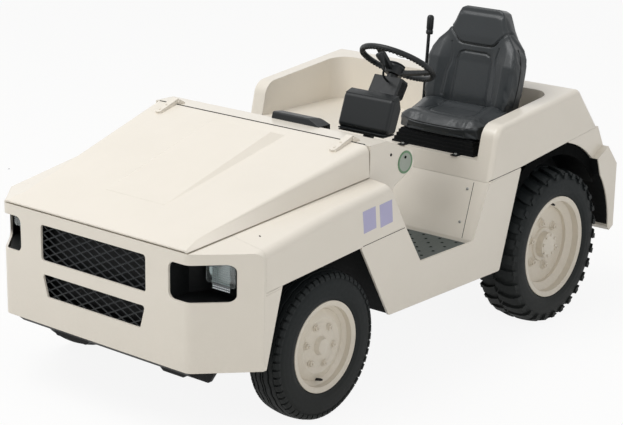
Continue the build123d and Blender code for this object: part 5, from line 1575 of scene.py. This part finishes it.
@dataclass
class ColumnTrim:
    """Lips, gauges and ribs on the housings round the steering column, in millimetres."""

    lid_middle: Point = (118.0, 0.0, 1200.0)
    lid_slope_deg: float = 17.0
    gauge_x: float = 84.0
    gauge_z: float = 1176.0
    gauge_radius: float = 30.0
    rib_count: int = 7
    rib_pitch: float = 7.3

    def housing(self) -> None:
        """Fits the housing's foot, lid and side nub."""
        for i, (low, reach) in enumerate(((1050.0, 4.0), (1041.0, 1.0))):
            lip = Workpiece.block(
                f"pod_lip_{i}", (112.0, 236.0, low - 4), (190.0 + reach, 488.0, low + 2)
            )
            lip.grab(lambda c, n: n.x > 0.9 or abs(n.y) > 0.9)
            lip.bevel(2.0, 2)
            lip.deliver("chassis", "black_plastic", BLACK_ABS, 40.0)
        lid = Workpiece.block("pod_lid", (92.0, 230.0, 1197.5), (136.0, 494.0, 1203.5))
        lid.grab_top()
        lid.bevel(2.0, 2)
        middle = Matrix.Translation(mm(*self.lid_middle))
        slope = Matrix.Rotation(math.radians(self.lid_slope_deg), 4, "Y")
        lid.place(middle @ slope @ middle.inverted())
        lid.deliver("chassis", "black_plastic", BLACK_ABS, 40.0)
        nub = Workpiece.bar(
            "pod_nub", (104.0, 226.0, 1186.0), (104.0, 214.0, 1186.0), (0, 0, 1), 16.0, 8.0
        )
        nub.deliver("chassis", "black_plastic", BLACK_ABS)

    def gauges(self) -> None:
        """Fits two plain gauges that face the driver."""
        back = tuple(Vector((-1.0, 0.0, 0.55)).normalized())
        x, z = self.gauge_x, self.gauge_z
        for i, y in enumerate((292.0, 432.0)):
            dial = Workpiece.rod(f"gauge_{i}", self.gauge_radius, 6.0, 40)
            dial.grab_top()
            dial.inset(3.0)
            dial.inset(1.5, -3.0)
            dial.place(facing((x, y, z), back))
            dial.deliver("chassis", "black_plastic", SEAM_PIPING, 40.0)
            needle = Workpiece.bar(
                f"gauge_needle_{i}", (x, y, z), (x + 6, y + 10, z + 20), back, 2.0, 4.2, -3.6
            )
            needle.deliver("chassis", "black_plastic", LAMP_GLASS)

    def build(self) -> None:
        """Fits the housing, the gauges, the shroud's ribbed side and the horn button."""
        axis = Vector((-math.sin(COLUMN_LEAN), 0.0, math.cos(COLUMN_LEAN)))
        ahead = Vector((math.cos(COLUMN_LEAN), 0.0, math.sin(COLUMN_LEAN)))
        self.housing()
        self.gauges()
        # dark ribs down the shroud's left side
        for i in range(self.rib_count):
            across = -22.0 + self.rib_pitch * i
            start = Vector(RING_CENTRE) + axis * -160.0 + ahead * across + Vector((0, 79.0, 0))
            rib = Workpiece.bar(
                f"shroud_rib_{i}", tuple(start), tuple(start + axis * 72.0), (0, 1, 0), 3.4, 2.4
            )
            rib.deliver("chassis", "black_plastic", SEAM_PIPING)
        button = Workpiece.rod("horn_button", 40.0, 5.0, 40)
        button.grab_top()
        button.inset(6.0, 2.5)
        button.inset(16.0, 2.0)
        button.place(facing(tuple(Vector(RING_CENTRE) - axis * 15.0), tuple(axis)))
        button.deliver("steering_wheel", "black_plastic", BLACK_ABS, 40.0)


@dataclass
class HingeStraps:
    """Rounded covers on the hood's strap hinges, with their screws, in millimetres."""

    pin: Point = (449.0, 510.0, 1100.4)
    foot: Point = (556.0, 510.0, 1063.4)
    half_width: float = 17.0
    height: float = 4.0
    leaf_x: float = 422.0
    leaf_z: float = 1082.0
    seal_low: Flat = (459.3, 1068.0)
    seal_high: Flat = (463.6, 1081.4)

    def build(self) -> None:
        """Lays a cover with a round end on each strap, and screws it and the leaf down."""
        run = (Vector(self.pin) - Vector(self.foot)).normalized()
        up = Vector((run.z, 0.0, -run.x))
        for side in Side:
            name = side.label
            flip = Vector((1.0, side.value, 1.0))
            pin, foot = Vector(self.pin) * flip, Vector(self.foot) * flip
            cover = Workpiece.bar(
                f"hinge_cover_{name}", tuple(foot), tuple(pin), tuple(up), 2 * self.half_width,
                self.height,
            )
            nose = Workpiece.head("cover_nose", self.half_width, self.height - 0.15, 32, 1.2)
            nose.place(facing(tuple(foot), tuple(up)))
            cover.join([nose])
            cover.deliver("hood", "body_paint", BODY_ENAMEL)
            screw = Workpiece.head(f"strap_screws_{name}", 5.0, 2.6, 20, 1.0)
            screw.copies([
                facing(tuple(foot + run * reach + up * self.height), tuple(up))
                for reach in (6.0, 48.0)
            ])
            screw.deliver("hood", "steel", WHEEL_ENAMEL)
            fixed = Workpiece.head(f"leaf_screws_{name}", 4.6, 3.2, 20, 1.0)
            y = side.value * self.pin[1]
            fixed.copies([
                Matrix.Translation(mm(self.leaf_x, y + step, self.leaf_z)) for step in (-9.0, 9.0)
            ])
            fixed.deliver("chassis", "steel", WHEEL_ENAMEL)
        # the bulb seal behind the lid, open where the straps pass; its black is a real seal and
        # also painted shade of the lid's shut line
        (low_x, low_z), (high_x, high_z) = self.seal_low, self.seal_high
        runs = (("right", -600.0, -532.0), ("middle", -488.0, 488.0), ("left", 532.0, 600.0))
        for name, low, high in runs:
            seal = Workpiece.block(f"hood_seal_{name}", (low_x, low, low_z), (high_x, high, high_z))
            seal.grab_top()
            seal.bevel(1.6, 2)
            seal.deliver("chassis", "black_plastic", HOLLOW_RUBBER)


@dataclass
class SteeringGrips:
    """Finger grips under the steering wheel's rim and a ring on its horn button, in mm."""

    ring_radius: float = 167.0
    grip_radius: float = 12.5
    count: int = 62

    def build(self) -> None:
        """Models one grip, copies it round the rim, and rings the horn button."""
        axis = (-math.sin(COLUMN_LEAN), 0.0, math.cos(COLUMN_LEAN))
        grip = Workpiece(
            "steering_grips", bpy.ops.mesh.primitive_uv_sphere_add, segments=10, ring_count=6,
            radius=MM, location=(0, 0, 0),
        )
        grip.grab()
        grip.resize((self.grip_radius - 2, 6.2, 6.0), (0, 0, 0))
        grip.grab()
        grip.move((self.ring_radius, 0, -9.0))
        grip.around(self.count, (0, 0, 1))
        grip.place(facing(RING_CENTRE, axis))
        grip.deliver("steering_wheel", "black_plastic", BLACK_ABS, 60.0)
        bead = [(30.0, -13.6), (31.5, -13.0), (32.6, -14.6), (31.0, -16.2)]
        ring = Workpiece.turned("steering_button_ring", bead, 48, closed=True)
        ring.place(facing_turned(RING_CENTRE, axis))
        ring.deliver("steering_wheel", "black_plastic", SEAM_PIPING, 60.0)


@dataclass
class ArchLiners:
    """Black splash sheets behind and above the wheels, black partly as underseal and partly as
    painted shade of the arch's inside, in millimetres.
    """

    radius: float = 460.6
    outer_y: float = 763.0
    inner_y: float = 641.0
    sheet: float = 2.0
    pitch_deg: int = 6
    closer_radii: Flat = (439.0, 493.0)
    closer_y: float = 722.0
    front_width: float = 272.0

    def on_arch(self, degrees: int, out: float = 0.0) -> Matrix:
        """Gives the placing of a sheet that was modelled above the rear axle at the origin."""
        x, _, z = REAR_WHEEL
        turn = Matrix.Rotation(math.radians(90 - degrees), 4, "Y")
        return Matrix.Translation(mm(x, out, z)) @ turn

    def build(self) -> None:
        """Bends the rear liners round the arch and hangs the front ones behind the wheel."""
        middle_y = (self.inner_y + self.outer_y) / 2
        inner, outer = self.closer_radii
        for side in Side:
            name = side.label
            strip = Workpiece.block(
                f"rear_liner_{name}", (-26, self.inner_y, self.radius - self.sheet),
                (26, self.outer_y, self.radius),
            )
            strip.copies([self.on_arch(degrees) for degrees in range(145, 179, self.pitch_deg)])
            # flat plates in painted shade black close the gap from the arched sheet to the side
            # plate's edge, and every other one stands 0.6 mm out so that no two faces share a plane
            shade_closer = Workpiece.block(
                f"arch_closer_{name}", (-27, self.closer_y, inner), (27, self.closer_y + 2, outer)
            )
            shade_closer.copies([
                self.on_arch(degrees, 0.6 * (degrees // self.pitch_deg % 2))
                for degrees in range(32, 146, self.pitch_deg)
            ])
            # the step from the plate's arch to the corner box, and a black sheet on the ballast's
            # front face, partly underseal and partly painted shade
            step = Workpiece.bar(
                f"arch_step_{name}", (-1181.0, middle_y, 657.5), (-1150.0, middle_y, 742.0),
                (1.0, 0.0, -0.36), self.outer_y - self.inner_y, self.sheet,
            )
            face = Workpiece.block("ballast_face", (-1197.6, 541.0, 500.0), (-1195.8, 641.0, 788.0))
            step.join([face])
            flap = Workpiece.bar(
                f"front_liner_{name}", (612.0, 589.0, 700.0), (421.0, 589.0, 352.0),
                (1.0, 0.0, -0.5), self.front_width, self.sheet,
            )
            # the sheets' black is partly underseal and partly painted shade of the arch's inside;
            # the closers are painted shade only
            for piece, finish in (
                (strip, HOLLOW_RUBBER), (shade_closer, PAINTED_SHADE_BLACK), (step, HOLLOW_RUBBER),
                (flap, HOLLOW_RUBBER),
            ):
                piece.for_side(side)
                piece.deliver("chassis", "frame_black", finish)


@dataclass
class Joints:
    """Seams, weld lines and shut lines that show on the body, in millimetres."""

    width: float = 2.6
    bead_width: float = 3.2

    def build(self) -> None:
        """Lays each line as a thin near-black strip of painted shade in the joint, or as a raised
        bead.
        """
        # columns: name, start x and z, end x and z
        # these strips paint the shade in the gap between the panels
        shaded_seams = (
            ("tub_seam_front", (-272.0, 798.0), (-629.0, 823.5)),
            ("wing_seam", (627.0, 700.5), (345.0, 719.5)),
        )
        beads = (
            ("arch_weld_upper", (1226.0, 645.0), (1140.0, 654.5)),
            ("arch_weld_lower", (1226.0, 636.5), (1140.0, 646.0)),
        )
        for side in Side:
            out = (0.0, side.value, 0.0)
            y = side.value * SIDE_Y
            for name, (x0, z0), (x1, z1) in shaded_seams:
                line = Workpiece.bar(
                    f"{name}_{side.label}", (x0, y, z0), (x1, y, z1), out, self.width, 0.25
                )
                line.deliver("chassis", "body_paint", PAINTED_SHADE_BLACK)
            # the riser's joint line is a strip of painted shade as well
            joint = Workpiece.bar(
                f"riser_joint_{side.label}", (-274.4, side.value * 651.7, 779.9),
                (-167.4, side.value * 672.5, 546.0), RISER_OUT, self.width, 0.3,
            )
            joint.deliver("chassis", "body_paint", PAINTED_SHADE_BLACK)
            for name, (x0, z0), (x1, z1) in beads:
                bead = Workpiece.bar(
                    f"{name}_{side.label}", (x0, y, z0), (x1, y, z1), out, self.bead_width, 1.1
                )
                bead.open()
                bead.grab(lambda c, n: n.y * side.value > 0.9)
                bead.bevel(0.9, 2)
                bead.deliver("chassis", "body_paint", BODY_ENAMEL)


@dataclass
class Fasteners:
    """Bolt and screw heads of the body, in millimetres."""

    def head(self, name: str, radius: float, height: float, sides: int) -> Workpiece:
        """Models one bolt head on its washer, standing on the origin."""
        washer = Workpiece.rod(name, radius * 1.35, 1.2, 20)
        washer.grab_top()
        washer.inset(radius * 0.1)
        top = Workpiece.head("bolt_top", radius, height, sides, height * 0.25)
        washer.join([top])
        return washer

    def build(self) -> None:
        """Fits each set of heads, one model for each set."""
        # columns: name, radius, height, sides, slot, finish, places and directions on the left
        sets = (
            ("riser_bolts", 5.0, 3.5, 20, "steel", BRIGHT_STEEL, [
                ((-259.6, 627.5, 747.4), RISER_OUT), ((-196.1, 636.9, 608.8), RISER_OUT),
                ((-259.6, 250.0, 747.4), RISER_OUT), ((-196.1, 250.0, 608.8), RISER_OUT),
            ]),
            ("cowl_bolts", 3.6, 3.0, 16, "body_paint", CHASSIS_BLACK, [
                ((319.5, 628.0, 1013.0), (0.0, 1.0, 0.0)),
            ]),
            # the wing plugs take the painted shade black
            ("wing_plugs", 3.2, 1.4, 16, "body_paint", PAINTED_SHADE_BLACK, [
                ((1260.0, 727.0, 885.4), (0.0, 0.26, 1.0)),
            ]),
        )
        for name, radius, height, sides, slot, finish, spots in sets:
            head = self.head(name, radius, height, sides)
            places = []
            for (x, y, z), (dx, dy, dz) in spots:
                for side in Side:
                    places.append(facing((x, side.value * y, z), (dx, side.value * dy, dz)))
            head.copies(places)
            head.deliver("chassis", slot, finish)


def dress_nodes() -> None:
    """Gives every CAD node the finish of its material slot."""
    for name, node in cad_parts.items():
        for i, given in enumerate(node.data.materials):
            slot = given.name.split(".")[0] if given else ""
            if slot in SLOT_FINISH:
                node.data.materials[i] = material_of(SLOT_FINISH[slot])
            else:
                log.warning("node %s has no finish for %s", name, slot)


def main() -> None:
    """Builds the studio and every piece of the tug's dress, in order."""
    Studio().build()
    dress_nodes()
    Tyre(
        End.FRONT, *FRONT_WHEEL, half_width=82.5, lip=195.0, bead=178.0, half_rim=75.5,
        tread_depth=8.0, steps=120,
    ).build()
    Tyre(
        End.REAR, *REAR_WHEEL, half_width=102.5, lip=244.0, bead=226.0, half_rim=92.5,
        tread_depth=13.0, steps=96,
    ).build()
    WheelFittings(
        End.FRONT, *FRONT_WHEEL, nut_circle=86.0, nut_face=42.0, nut_size=13.0,
        first_nut_deg=12.0, valve_reach=150.0, valve_face=56.0, valve_deg=-86.0,
    ).build()
    WheelFittings(
        End.REAR, *REAR_WHEEL, nut_circle=110.0, nut_face=30.0, nut_size=15.0,
        first_nut_deg=20.0, valve_reach=206.0, valve_face=62.0, valve_deg=94.0,
    ).build()
    Seat().build()
    Lamps().build()
    FloorCollars().build()
    Markings().build()
    SteeringGrips().build()
    SeatMount().build()
    ShiftLever().build()
    ParkingKnob().build()
    HingeStraps().build()
    ColumnTrim().build()
    ArchLiners().build()
    Joints().build()
    Fasteners().build()


if __name__ == "__main__":
    main()
